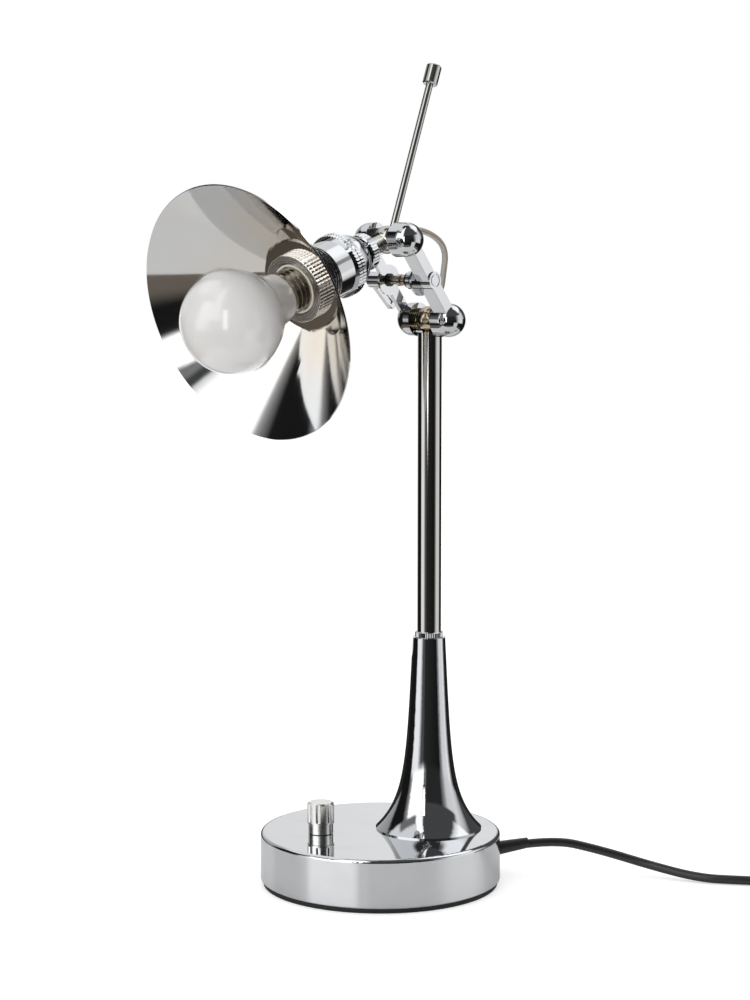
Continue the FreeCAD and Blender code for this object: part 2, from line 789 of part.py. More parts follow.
def lower_ball():
    """Ball on a stem that turns in the post's collar, bored for the cable."""
    ball = Part.makeSphere(BALL_R)
    stem = disc(STEM_R, -STEM_END, -BALL_R / 2)
    bore = disc(CABLE_BORE_R, -STEM_END - 1, 0)
    slope = math.radians(CABLE_BORE_LEAN)
    outlet = Part.makeCylinder(
        CABLE_BORE_R, 2 * BALL_R, V(0, 0, 0), V(-math.sin(slope), 0, math.cos(slope))
    )
    shape = ball.fuse(stem).cut(bore).cut(outlet).cut(Part.makeSphere(CABLE_BORE_R))
    return placed(shape, AIM.multiply(FreeCAD.Placement(V(0, 0, LOWER_BALL_Z), FreeCAD.Rotation())))


def stem_ring():
    """Retaining ring on the stem, just under the collar."""
    top = POST_TOP - COLLAR_LENGTH - BALL_GAP
    return ring(STEM_RING_R, STEM_R, top - STEM_RING_T, top, 0, COLUMN_Y)


# ---------------------------------------------------------------- arm


def barrel(z, straight):
    """Barrel that holds one ball from the side: a straight stretch of that length and a round end."""
    dome_y = BARREL_MOUTH + straight
    dome = Part.makeSphere(BARREL_R, V(0, dome_y, z), V(0, 1, 0), 0, 90, 360)
    return rod_y(BARREL_R, BARREL_MOUTH, dome_y, z).fuse(dome)


def half_arm_shape(bar_inner, bar_outer, straight, flange_inner):
    """One half of the arm: two barrels, the bar between them, and the boss and flange for the bolt."""
    bar = Part.makeBox(BAR_W, bar_outer - bar_inner, ARM_LENGTH, V(-BAR_W / 2, bar_inner, 0))
    long_edges = [edge for edge in bar.Edges if abs(edge.Length - ARM_LENGTH) < 1e-6]
    bar = bar.makeChamfer(BAR_BEVEL, long_edges)
    boss = rod_y(BOSS_R, bar_inner, BAR_OUTER, ARM_MIDDLE)
    flange = rod_y(BOLT_FLANGE_R, flange_inner, flange_inner + BOLT_FLANGE_T, ARM_MIDDLE)
    arm = bar.fuse([barrel(0, straight), barrel(ARM_LENGTH, straight), boss, flange])
    for z in (0, ARM_LENGTH):
        arm = arm.cut(rod_y(PAD_R + PAD_GAP, BARREL_MOUTH - 1, CUP_FLOOR, z))
    return arm.cut(rod_y(BOLT_R + RUN_GAP, 0, BAR_OUTER + 1, ARM_MIDDLE))


def mirrored(shape):
    """The same shape on the other side of the arm's plane."""
    return shape.mirror(V(0, 0, 0), V(0, 1, 0))


def half_arm_front():
    """The half on the bolt head's side, with its flange inside the bar."""
    shape = half_arm_shape(BAR_INNER, BAR_OUTER, BARREL_STRAIGHT, BAR_INNER - BOLT_FLANGE_T)
    return placed(shape, ARM_PLACE)


def half_arm_rear():
    """The half on the lever's side, with a thinner bar and its flange flush with it."""
    bar_outer = REAR_BAR_INNER + REAR_BAR_T
    shape = half_arm_shape(REAR_BAR_INNER, bar_outer, REAR_BARREL_STRAIGHT, REAR_BAR_INNER)
    return placed(mirrored(shape), ARM_PLACE)


def friction_pads():
    """Four grooved brass pads, each with a hollow seat for its ball."""
    pad = rod_y(PAD_R, PAD_FACE, CUP_FLOOR)
    for back in PAD_GROOVES_BACK:
        low = BARREL_MOUTH - back - PAD_GROOVE_HALF_W
        high = BARREL_MOUTH - back + PAD_GROOVE_HALF_W
        groove = rod_y(PAD_R + 1, low, high).cut(rod_y(PAD_R - PAD_GROOVE, low - 1, high + 1))
        pad = pad.cut(groove)
    pad = pad.cut(Part.makeSphere(BALL_R + BALL_GAP))
    pads = []
    for z in (0, ARM_LENGTH):
        one = pad.copy()
        one.translate(V(0, 0, z))
        pads += [placed(one, ARM_PLACE), placed(mirrored(one), ARM_PLACE)]
    return Part.makeCompound(pads)


def tie_bolt():
    """Bolt through both half-arms, with a round ringed head and a long tail for the lever."""
    head = rod_y(BOSS_R, BAR_OUTER, BAR_OUTER + BOLT_HEAD_T, ARM_MIDDLE)
    face = BAR_OUTER + BOLT_HEAD_T
    groove_r = BOSS_R - BOLT_GROOVE_BACK
    groove = rod_y(groove_r, face - BOLT_GROOVE_DEPTH, face + 1, ARM_MIDDLE)
    groove = groove.cut(rod_y(groove_r - BOLT_GROOVE_W, face - 1, face + 2, ARM_MIDDLE))
    shank = rod_y(BOLT_R, -BOLT_TAIL, BAR_OUTER, ARM_MIDDLE)
    return placed(head.cut(groove).fuse(shank), ARM_PLACE)


def bolt_sleeve():
    """Bronze sleeve on the bolt with one raised bead."""
    rear = -REAR_BAR_INNER + REAR_WASHER_T
    sleeve = rod_y(SLEEVE_R, rear, SLEEVE_FRONT, ARM_MIDDLE)
    bead = rod_y(SLEEVE_BUMP_R, BUMP_Y - BUMP_W / 2, BUMP_Y + BUMP_W / 2, ARM_MIDDLE)
    bore = rod_y(BOLT_R + RUN_GAP, rear - 1, SLEEVE_FRONT + 1, ARM_MIDDLE)
    return placed(sleeve.fuse(bead).cut(bore), ARM_PLACE)


def bolt_washers():
    """Black washer at each end of the sleeve, the front one larger."""
    rear = (REAR_WASHER_R, -REAR_BAR_INNER, REAR_WASHER_T)
    front = (WASHER_BLACK_R, SLEEVE_FRONT, WASHER_BLACK_T)
    washers = []
    for radius, start, thickness in (rear, front):
        washer = rod_y(radius, start, start + thickness, ARM_MIDDLE)
        hole = rod_y(BOLT_R + RUN_GAP, start - 1, start + thickness + 1, ARM_MIDDLE)
        washers.append(placed(washer.cut(hole), ARM_PLACE))
    return Part.makeCompound(washers)


def clamp_disc():
    """Stepped disc between the front washer and the front half-arm's flange."""
    start = SLEEVE_FRONT + WASHER_BLACK_T
    end = BAR_INNER - BOLT_FLANGE_T
    disc_shape = rod_y(DISC_R, start, start + DISC_T, ARM_MIDDLE)
    hub = rod_y(DISC_HUB_R, start + DISC_T, end, ARM_MIDDLE)
    bore = rod_y(BOLT_R + RUN_GAP, start - 1, end + 1, ARM_MIDDLE)
    return placed(disc_shape.fuse(hub).cut(bore), ARM_PLACE)


def clamp_lever():
    """Flat lever with a round hub that screws along the bolt's tail to clamp the two balls."""
    near = BAR_OUTER + FREE_GAP
    far = near + LEVER_HUB_T
    hub = rod_y(LEVER_HUB_R, -far, -near)
    half = LEVER_W / 2
    paddle = Part.makeBox(LEVER_W, LEVER_T, LEVER_LENGTH, V(-half, -far, -LEVER_LENGTH))
    tip = rod_y(half, -far, -far + LEVER_T, -LEVER_LENGTH)
    lever = hub.fuse([paddle, tip])
    slot_start = -LEVER_HUB_R - 2
    slot_length = LEVER_LENGTH - LEVER_HUB_R - 3
    slot_y = -far - 1
    slot = Part.makeBox(
        LEVER_SLOT_W,
        LEVER_SLOT_DEPTH + 1,
        slot_length,
        V(-LEVER_SLOT_W / 2, slot_y, slot_start - slot_length),
    )
    inner_face = -far + LEVER_T - LEVER_SLOT_DEPTH
    inner_slot = slot.copy()
    inner_slot.translate(V(0, inner_face - slot_y, 0))
    lever = lever.cut(slot).cut(inner_slot).cut(rod_y(BOLT_R + RUN_GAP, -far - 1, -near + 1))
    skew = FreeCAD.Placement(V(0, 0, ARM_MIDDLE), FreeCAD.Rotation(V(0, 1, 0), LEVER_SKEW))
    return placed(lever, ARM_PLACE.multiply(skew))


def cable_points():
    """The arm cable's whole route, from the upper ball to the lower one."""
    points = []
    for ball, steps in ((UPPER_BALL, CABLE_FROM_UPPER), (LOWER_BALL, CABLE_FROM_LOWER)):
        points += [ball + AIM.Rotation.multVec(V(forward, 0, up)) for forward, up in steps]
    return points


def arm_cable_upper():
    return tube_along(cable_points()[: CABLE_MEET + 1], CABLE_R, "arm_cable_upper")


def arm_cable_lower():
    return tube_along(cable_points()[CABLE_MEET:], CABLE_R, "arm_cable_lower").cut(arm_cable_upper())


# ---------------------------------------------------------------- upper ball and handle


def cable_outlet_angle():
    """Lean of the upper ball's cable bore, from its centre to the cable's first point."""
    way = cable_points()[1] - UPPER_BALL
    return math.degrees(math.atan2(-math.hypot(way.x, way.y), way.z))


def upper_ball():
    """Ball with the neck and the flanged spigot that the head turns on."""
    ball = Part.makeSphere(BALL_R)
    neck = turned(
        [
            (0, 0),
            (NECK_R, 0),
            (NECK_R, HUB_START - RUN_GAP),
            (SPIGOT_R, HUB_START - RUN_GAP),
            (SPIGOT_R, SPIGOT_END),
            (SPIGOT_FLANGE_R, SPIGOT_END),
            (SPIGOT_FLANGE_R, SPIGOT_END + SPIGOT_FLANGE_T),
            (0, SPIGOT_END + SPIGOT_FLANGE_T),
        ]
    )
    body = placed(ball.fuse(neck).cut(disc(CABLE_BORE_R, 0, HUB_START * 2)), HEAD_PLACE)
    outlet = placed(disc(CABLE_BORE_R, 0, 2 * BALL_R), upper_place(cable_outlet_angle()))
    core = Part.makeSphere(CABLE_BORE_R, UPPER_BALL)
    seat = placed(disc(HANDLE_R, HANDLE_SEAT, 2 * BALL_R), HANDLE_PLACE)
    return body.cut(outlet).cut(core).cut(seat)


def handle_rod():
    """Slim rod, screwed into the ball, that the lamp is aimed with."""
    return placed(disc(HANDLE_R, HANDLE_SEAT, HANDLE_REACH - HANDLE_TIP_H / 2), HANDLE_PLACE)


def handle_tip():
    """Bevelled collar on the rod's end."""
    low = HANDLE_REACH - HANDLE_TIP_H
    tip = bevelled(HANDLE_TIP_R, low, HANDLE_REACH, HANDLE_TIP_BEVEL)
    return placed(tip.cut(disc(HANDLE_R, low - 1, HANDLE_REACH - HANDLE_TIP_H / 2)), HANDLE_PLACE)


# ---------------------------------------------------------------- head


def lock_ring():
    """Small knurled ring round the cap's hub."""
    end = LOCK_RING_START + LOCK_RING_T
    bore = HUB_R + RUN_GAP
    knurl = (LOCK_RING_TEETH, LOCK_RING_TOOTH, LOCK_RING_BEVEL)
    return placed(toothed(LOCK_RING_R, bore, LOCK_RING_START, end, *knurl), HEAD_PLACE)


def cap_side(offset, start, end):
    """The holder cap's domed side, from its hub to its rim, moved in by offset."""
    hub = V(LOCK_RING_R - 2 - offset, 0, start)
    middle = V(CAP_R * 0.9 - offset, 0, start + (end - start) * 0.42)
    rim = V(CAP_R - offset, 0, end)
    return Part.Arc(hub, middle, rim).toShape(), hub, rim


def holder_cap():
    """Domed cap of the lampholder, held on the ball's spigot."""
    side, hub, rim = cap_side(0, CAP_SHOULDER, CAP_END)
    hub_low = V(HUB_R, 0, HUB_START)
    hub_high = V(HUB_R, 0, CAP_SHOULDER)
    outer = turned_edges(
        [
            line(V(0, 0, HUB_START), hub_low),
            line(hub_low, hub_high),
            line(hub_high, hub),
            side,
            line(rim, V(0, 0, CAP_END)),
            line(V(0, 0, CAP_END), V(0, 0, HUB_START)),
        ]
    )
    floor = SPIGOT_END - FREE_GAP
    side, hub, rim = cap_side(CAP_WALL, floor, CAP_END)
    hollow = turned_edges(
        [
            line(V(0, 0, floor), hub),
            side,
            line(rim, V(0, 0, CAP_END)),
            line(V(0, 0, CAP_END), V(0, 0, floor)),
        ]
    )
    cap = outer.cut(hollow).cut(disc(SPIGOT_R + RUN_GAP, HUB_START - 1, SPIGOT_END))
    return placed(cap, HEAD_PLACE)


def holder_ring():
    """Broad knurled ring in two rows over the joint of cap and skirt."""
    half = HOLDER_RING_T / 2
    knurl = (HOLDER_RING_TEETH, HEAD_RING_TOOTH, HEAD_RING_BEVEL)
    rows = []
    for low in (CAP_END, CAP_END + half):
        rows.append(toothed(HOLDER_RING_R, SKIRT_R, low, low + half, *knurl))
    return placed(rows[0].fuse(rows[1]), HEAD_PLACE)


def holder_skirt():
    """Polished skirt with a flange that the shade seats on and a nose through the shade."""
    inner = SKIRT_R - SKIRT_WALL
    skirt = turned(
        [
            (CAP_R - CAP_WALL, CAP_END),
            (SKIRT_R, CAP_END),
            (SKIRT_R, SKIRT_END - THREAD_LENGTH),
            (SKIRT_R - 0.5, SKIRT_END - THREAD_LENGTH),
            (SKIRT_R - 0.5, SKIRT_END),
            (FLANGE_R, SKIRT_END),
            (FLANGE_R, SHADE_SEAT),
            (NOSE_R, SHADE_SEAT),
            (NOSE_R, NOSE_END),
            (NOSE_R - 0.7, NOSE_END),
            (NOSE_R - 0.7, SKIRT_END),
            (inner - 0.5, SKIRT_END - 2),
            (inner, CAP_END + 4),
        ]
    )
    return placed(skirt, HEAD_PLACE)


def holder_thread():
    """Dark ridged sleeve on the skirt next to the shade."""
    pitch = THREAD_LENGTH / THREAD_RIDGES
    root = SKIRT_R - 0.1
    outline = [(SKIRT_R - 0.5, SKIRT_END), (SKIRT_R - 0.5, SKIRT_END - THREAD_LENGTH)]
    for i in range(THREAD_RIDGES):
        low = SKIRT_END - THREAD_LENGTH + i * pitch
        outline += [(root, low), (SKIRT_R + 0.4, low + pitch / 2), (root, low + pitch)]
    unique = [point for i, point in enumerate(outline) if i == 0 or point != outline[i - 1]]
    return placed(turned(unique), HEAD_PLACE)


def shade_ring():
    """Knurled ring in two rows that clamps the shade from the front."""
    end = SHADE_FRONT + SHADE_RING_T
    middle = SHADE_FRONT + SHADE_RING_T / 2
    knurl = (SHADE_RING_TEETH, HEAD_RING_TOOTH, HEAD_RING_BEVEL)
    rows = []
    for low, high in ((SHADE_FRONT, middle), (middle, end)):
        rows.append(toothed(SHADE_RING_R, NOSE_R + RUN_GAP, low, high, *knurl))
    return placed(rows[0].fuse(rows[1]), HEAD_PLACE)


def reflector_shade():
    """Spun cone with a flat neck that the holder clamps."""
    slope = math.atan2(SHADE_RIM_R - SHADE_NECK_R, SHADE_RIM_T - SHADE_SEAT)
    shift = SHADE_T / math.cos(slope)
    shade = turned(
        [
            (NOSE_R + SHADE_HOLE_GAP, SHADE_SEAT),
            (SHADE_NECK_R, SHADE_SEAT),
            (SHADE_RIM_R, SHADE_RIM_T),
            (SHADE_RIM_R - SHADE_T * math.cos(slope), SHADE_RIM_T + SHADE_T * math.sin(slope)),
            (SHADE_NECK_R - shift + SHADE_T / math.tan(slope), SHADE_FRONT),
            (NOSE_R + SHADE_HOLE_GAP, SHADE_FRONT),
        ]
    )
    return placed(shade, HEAD_PLACE)


def lamp_sleeve_r():
    """Inner radius of the threaded contact sleeve."""
    return LAMP_CAP_R + 0.2


def porcelain_insert():
    """White porcelain insert with a floor, round the contact sleeve."""
    bore = lamp_sleeve_r() + SLEEVE_WALL
    insert = ring(bore + INSERT_WALL, bore, INSERT_START, INSERT_END)
    floor = ring(bore + INSERT_WALL / 2, RIVET_R + RUN_GAP, INSERT_START, INSERT_START + INSERT_FLOOR)
    return placed(insert.fuse(floor), HEAD_PLACE)


def contact_sleeve():
    """Threaded brass sleeve that the bulb's cap screws into."""
    inner = lamp_sleeve_r()
    low = INSERT_START + INSERT_FLOOR
    return placed(ring(inner + SLEEVE_WALL, inner, low, NOSE_END - 3), HEAD_PLACE)


def centre_contact():
    """Sprung tongue under the bulb's foot contact, on its rivet through the insert's floor."""
    floor = INSERT_START + INSERT_FLOOR
    tongue = Part.makeBox(9, 4, TONGUE_T, V(-2, -2, LAMP_FOOT_T - TONGUE_T - RUN_GAP))
    leg = Part.makeBox(TONGUE_T, 4, LAMP_FOOT_T - floor - RUN_GAP, V(6.4, -2, floor))
    foot = Part.makeBox(7.5, 4, TONGUE_T, V(-0.5, -2, floor))
    rivet = disc(RIVET_R, INSERT_START - 2, floor + TONGUE_T / 2)
    return placed(tongue.fuse([leg, foot, rivet]), HEAD_PLACE)


def head_leads():
    """Leads in the holder, from the spigot's bore to the insert."""
    start = SPIGOT_END + SPIGOT_FLANGE_T
    leads = []
    for side in (-1, 1):
        route = [
            V(side * 1.1, 0, start),
            V(side * 1.3, 0, start + 10),
            V(side * 5, 0, start + 22),
            V(side * 5.4, 0, INSERT_START),
        ]
        lead = placed(tube_along(route, LEAD_R, "head_lead"), HEAD_PLACE)
        leads.append(lead.cut(porcelain_insert()))
    return Part.makeCompound(leads)


# ---------------------------------------------------------------- bulb


def bulb_cap():
    """Metal screw cap with rounded thread ridges."""
    root = LAMP_CAP_R - LAMP_THREAD_DEPTH
    low = LAMP_FOOT_T + LAMP_FOOT_H
    high = LAMP_FOOT_T + LAMP_CAP_LENGTH
    z = LAMP_FOOT_T + LAMP_THREAD_START
    outline = [(0, low), (LAMP_CAP_R - 4, low), (root, z)]
    while z + LAMP_THREAD_PITCH < high - 2:
        outline += [(LAMP_CAP_R, z + LAMP_THREAD_PITCH / 2), (root, z + LAMP_THREAD_PITCH)]
        z += LAMP_THREAD_PITCH
    outline += [(root, high), (0, high)]
    return placed(turned(outline), HEAD_PLACE)


def bulb_foot():
    """Insulated foot contact of the bulb."""
    foot = Part.makeCone(LAMP_FOOT_R, LAMP_CAP_R - 5, LAMP_FOOT_H, V(0, 0, LAMP_FOOT_T))
    return placed(foot, HEAD_PLACE)


def globe_radius_at(t):
    """The globe's radius where the collar meets it."""
    return math.sqrt(GLOBE_R**2 - (GLOBE_T - t) ** 2)


def bulb_collar():
    """Plastic collar between the metal cap and the globe."""
    low = LAMP_FOOT_T + LAMP_CAP_LENGTH
    seam_r = globe_radius_at(GLOBE_SEAM_T)
    start = V(LAMP_NECK_R, 0, low + 1.2)
    seam = V(seam_r, 0, GLOBE_SEAM_T)
    middle = V(
        (start.x + seam.x) / 2 - 0.6,
        0,
        (start.z + seam.z) / 2 + 0.8,
    )
    edge = V(LAMP_NECK_R - 0.6, 0, low)
    collar = turned_edges(
        [
            line(V(0, 0, low), edge),
            line(edge, start),
            Part.Arc(start, middle, seam).toShape(),
            line(seam, V(0, 0, GLOBE_SEAM_T)),
            line(V(0, 0, GLOBE_SEAM_T), V(0, 0, low)),
        ]
    )
    return placed(collar, HEAD_PLACE)


def bulb_globe():
    """Opal globe, open at the seam."""
    globe = Part.makeSphere(GLOBE_R, V(0, 0, GLOBE_T))
    hollow = Part.makeSphere(GLOBE_R - GLOBE_WALL, V(0, 0, GLOBE_T))
    below = disc(GLOBE_R + 1, GLOBE_T - GLOBE_R - 1, GLOBE_SEAM_T)
    return placed(globe.cut(hollow).cut(below), HEAD_PLACE)


NODES = [
    base_shell,
    base_ballast,
    base_cover,
    foot_pad,
    cover_screws,
    column_flare,
    column_ring,
    post_tube,
    post_bush,
    column_rod,
    column_nuts,
    post_collar,
    dimmer_body,
    dimmer_bush,
    dimmer_knob,
    dimmer_shaft,
    terminal_block,
    base_leads,
    post_lead,
    cord_relief,
    mains_cord,
    cord_coil,
    plug_lead,
    plug_body,
    plug_pins,
    lower_ball,
    stem_ring,
    half_arm_front,
    half_arm_rear,
    friction_pads,
    tie_bolt,
    bolt_sleeve,
    bolt_washers,
    clamp_disc,
    clamp_lever,
    arm_cable_upper,
    arm_cable_lower,
    upper_ball,
    handle_rod,
    handle_tip,
    lock_ring,
    holder_cap,
    holder_ring,
    holder_skirt,
    holder_thread,
    shade_ring,
    reflector_shade,
    porcelain_insert,
    contact_sleeve,
    centre_contact,
    head_leads,
    bulb_cap,
    bulb_foot,
    bulb_collar,
    bulb_globe,
]

for make in NODES:
    node_shape = make()
    node_shape.exportStep(f"parts/{make.__name__}.step")
print("upper ball", [round(x, 2) for x in UPPER_BALL])
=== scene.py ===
"""Tabletop searchlight lamp: finishes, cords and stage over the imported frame."""
import json
import math

import bpy
from mathutils import Matrix, Vector


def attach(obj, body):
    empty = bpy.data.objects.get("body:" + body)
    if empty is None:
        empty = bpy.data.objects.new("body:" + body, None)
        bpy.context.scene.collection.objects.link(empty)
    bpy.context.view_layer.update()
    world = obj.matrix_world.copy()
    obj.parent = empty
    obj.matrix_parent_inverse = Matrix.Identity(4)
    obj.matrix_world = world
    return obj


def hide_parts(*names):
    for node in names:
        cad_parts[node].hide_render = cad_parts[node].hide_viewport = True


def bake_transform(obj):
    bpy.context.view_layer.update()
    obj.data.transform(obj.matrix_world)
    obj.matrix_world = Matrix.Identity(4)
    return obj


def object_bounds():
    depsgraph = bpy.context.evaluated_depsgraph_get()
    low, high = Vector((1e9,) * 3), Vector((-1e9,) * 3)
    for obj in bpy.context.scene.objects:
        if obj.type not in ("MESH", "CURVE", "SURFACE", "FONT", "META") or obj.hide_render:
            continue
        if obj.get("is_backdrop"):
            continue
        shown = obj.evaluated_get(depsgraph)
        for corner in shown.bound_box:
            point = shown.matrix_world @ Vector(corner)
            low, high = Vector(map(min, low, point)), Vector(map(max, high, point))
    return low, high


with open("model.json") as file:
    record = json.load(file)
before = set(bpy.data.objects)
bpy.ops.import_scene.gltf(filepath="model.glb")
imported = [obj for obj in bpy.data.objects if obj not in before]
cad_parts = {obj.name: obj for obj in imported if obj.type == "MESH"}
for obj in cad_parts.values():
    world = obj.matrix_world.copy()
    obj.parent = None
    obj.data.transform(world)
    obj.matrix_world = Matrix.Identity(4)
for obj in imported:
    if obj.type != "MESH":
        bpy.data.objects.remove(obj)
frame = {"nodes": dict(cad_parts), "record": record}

bl_info = {
    "name": "Searchlight Lamp",
    "version": (1, 0, 0),
    "blender": (4, 5, 0),
    "location": "3D View > Sidebar > Lamp",
    "description": "Finishes, cords and stage of a tabletop searchlight lamp",
    "category": "Object",
}

NODES = frame["nodes"]
JOINTS = {joint["name"]: joint for joint in frame["record"]["behaviour"]["joints"]}
UPPER_BALL = Vector(JOINTS["head_turn"]["pos_m"])
HEAD_AXIS = Vector(JOINTS["head_turn"]["axis"]).normalized()
LOWER_BALL = Vector(JOINTS["post_turn"]["pos_m"])
CLAMP_AXIS = Vector(JOINTS["arm_swing"]["axis"]).normalized()
FORWARD = Vector((CLAMP_AXIS.y, -CLAMP_AXIS.x, 0))  # towards the side that the arm leans to
ARM_MIDDLE_Z = (UPPER_BALL.z + LOWER_BALL.z) / 2

# The mains cord's route and coil, as in the frame, in metres
CORD_ROUTE = [
    (0.0, 0.075, 0.017),
    (0.0003, 0.1105, 0.0216),
    (0.0096, 0.1411, 0.0148),
    (0.024, 0.1707, 0.0066),
    (0.0445, 0.195, 0.00275),
    (0.0544, 0.2174, 0.00275),
    (0.0637, 0.242, 0.00275),
    (0.0701, 0.2693, 0.00275),
]
COIL_ENTRY = math.radians(-12.0)  # where the route meets the coil, round the coil's centre
COIL_MIDDLE = 0.031  # radius of the coil's middle turns
POINTS_PER_TURN = 14
PLUG_HEIGHT = 0.0137
PLUG_RISE = [(38, 0.5), (72, 0.94)]  # degrees past the coil's end, and part of the rise to the plug
PLUG_TURN = 90  # degrees past the coil's end at which the plug starts
PLUG_SET_OFF = 0.006

# The arm cable's routes in the arm's plane: distance forward of the post's axis, and height
CABLE_UPPER = [
    (0.0323, 0.4026),
    (0.016, 0.4076),
    (0.001, 0.405),
    (-0.0105, 0.3995),
    (-0.015, 0.3917),
    (-0.01395, 0.3861),
]
CABLE_LOWER = [(-0.01395, 0.3861), (-0.0129, 0.3805), (-0.011, 0.3704), (-0.004, 0.3566)]
CABLE_SIDES = 24
CABLE_STEPS = 16

# The stage: the direction from the lamp to the camera, and to the camera's right
TOWARDS_CAMERA = Vector((0.97815, -0.20791, 0.0))
TO_THE_RIGHT = Vector((0.20791, 0.97815, 0.0))
CAMERA_AT = (1.4409, -0.3097, 0.401)
CAMERA_PITCH = math.radians(6.2)
FLOOR_SIDES = 96
FLOOR_HEIGHT = -0.0002
TABLE_HEIGHT = -0.0001  # just under the foot, and just over the floor

# What only the metal sees, in metres towards the camera, to the camera's right and up
TABLE_BACK, TABLE_FRONT = -0.8, 0.36
TABLE_LEFT, TABLE_RIGHT = -0.38, 0.42
STRIP_AHEAD = 0.6
STRIP_LEFT, STRIP_RIGHT = -0.24, -0.11
STRIP_FOOT, STRIP_TOP = 0.2, 0.6
STRIP_SIDE_FADE = 0.04
STRIP_FOOT_FADE = 0.07
SKIRTING_BEHIND = 0.35
SKIRTING_LEFT, SKIRTING_RIGHT = -0.42, 0.5
SKIRTING_HEIGHT = 0.085

BLACK = (0.0, 0.0, 0.0)
WHITE = (1.0, 1.0, 1.0)
GLOOM = (0.012, 0.012, 0.012)  # the studio's dark gaps


# ---------------------------------------------------------------- node trees


class Socket:
    """A value in a node tree. Arithmetic on it adds Math nodes."""

    def __init__(self, graph, socket):
        self.graph = graph
        self.socket = socket

    def __add__(self, other):
        return self.graph.math("ADD", self, other)

    __radd__ = __add__

    def __sub__(self, other):
        return self.graph.math("SUBTRACT", self, other)

    def __rsub__(self, other):
        return self.graph.math("SUBTRACT", other, self)

    def __mul__(self, other):
        return self.graph.math("MULTIPLY", self, other)

    __rmul__ = __mul__

    def __truediv__(self, other):
        return self.graph.math("DIVIDE", self, other)


class Graph:
    """Adds nodes to one tree."""

    def __init__(self, tree):
        self.tree = tree
        tree.nodes.clear()

    def node(self, kind, settings=None, sockets=None):
        """Adds a node: its settings, then its sockets' values or links. Returns its outputs."""
        made = self.tree.nodes.new(kind)
        for name, value in (settings or {}).items():
            if name == "stops":
                self.set_stops(made.color_ramp, value)
            else:
                setattr(made, name, value)
        for name, value in (sockets or {}).items():
            if isinstance(value, Socket):
                self.tree.links.new(value.socket, made.inputs[name])
            else:
                made.inputs[name].default_value = value
        return [Socket(self, output) for output in made.outputs]

    @staticmethod
    def set_stops(ramp, stops):
        elements = ramp.elements
        while len(elements) < len(stops):
            elements.new(1.0)
        for element, (place, colour) in zip(elements, stops):
            element.position = place
            element.color = (*colour, 1.0)

    def math(self, operation, first, second=0.0):
        return self.node("ShaderNodeMath", {"operation": operation}, {0: first, 1: second})[0]

    def steps(self, value, low, high):
        """0 below low, 1 above high and a smooth rise between them."""
        settings = {"interpolation_type": "SMOOTHSTEP"}
        sockets = {"Value": value, "From Min": low, "From Max": high}
        return self.node("ShaderNodeMapRange", settings, sockets)[0]

    def band(self, value, rise, fall):
        """0 before rise, 1 from its end to the start of fall, and 0 again after fall."""
        return self.steps(value, *rise) * (1.0 - self.steps(value, *fall))

    def mix(self, factor, first, second):
        """A mix of two colours."""
        first = first if isinstance(first, Socket) else (*first, 1.0)
        second = second if isinstance(second, Socket) else (*second, 1.0)
        settings = {"data_type": "RGBA", "clamp_factor": True}
        return self.node("ShaderNodeMix", settings, {0: factor, 6: first, 7: second})[2]

    def vectors(self, operation, sockets):
        """A Vector Math node: its vector and its value."""
        return self.node("ShaderNodeVectorMath", {"operation": operation}, sockets)

    def dot(self, vector, other):
        return self.vectors("DOT_PRODUCT", {0: vector, 1: other})[1]

    def parts(self, vector):
        """The X, Y and Z of a vector."""
        return self.node("ShaderNodeSeparateXYZ", None, {0: vector})

    def way(self):
        """The direction that a ray takes into the world."""
        return self.node("ShaderNodeTexCoord")[0]

    def place(self):
        """The point on the piece, in metres, in the frame at rest."""
        return self.node("ShaderNodeTexCoord")[3]

    def noise(self, vector, scale, detail=2.0, roughness=0.5):
        sockets = {"Vector": vector, "Scale": scale, "Detail": detail, "Roughness": roughness}
        return self.node("ShaderNodeTexNoise", None, sockets)[0]

    def lines(self, value, scale, detail):
        """Noise that changes with one value alone."""
        settings = {"noise_dimensions": "1D"}
        sockets = {"W": value, "Scale": scale, "Detail": detail}
        return self.node("ShaderNodeTexNoise", settings, sockets)[0]

    def bump(self, height, strength, distance):
        sockets = {"Height": height, "Strength": strength, "Distance": distance}
        return self.node("ShaderNodeBump", None, sockets)[0]

    def surface(self, sockets):
        shader = self.node("ShaderNodeBsdfPrincipled", None, sockets)[0]
        self.node("ShaderNodeOutputMaterial", None, {"Surface": shader})


def new_material(name):
    material = bpy.data.materials.new(name)
    material.use_nodes = True
    return material, Graph(material.node_tree)


def scaled(colour, factor):
    """A darker or a lighter colour."""
    return tuple(factor * part for part in colour)


def dress(material, *names):
    """Gives CAD nodes a material in place of their plain one."""
    for name in names:
        mesh = NODES[name].data
        mesh.materials.clear()
        mesh.materials.append(material)


# ---------------------------------------------------------------- finishes


def polished_plate(name, colour, roughness, haze):
    """Polished plating: faint clouds and hairlines in its roughness, and a very slight waviness."""
    material, graph = new_material(name)
    place = graph.place()
    worn = graph.steps(graph.noise(place, scale=45.0, detail=3.0), 0.45, 0.75)
    hairlines = graph.noise(place, scale=900.0, detail=1.0)
    waviness = graph.noise(place, scale=60.0, detail=1.0)
    graph.surface(
        {
            "Base Color": graph.mix(worn * 0.6, colour, scaled(colour, 0.93)),
            "Metallic": 1.0,
            "Roughness": roughness + worn * haze + hairlines * 0.012,
            "Normal": graph.bump(waviness, strength=0.05, distance=0.0004),
        }
    )
    return material


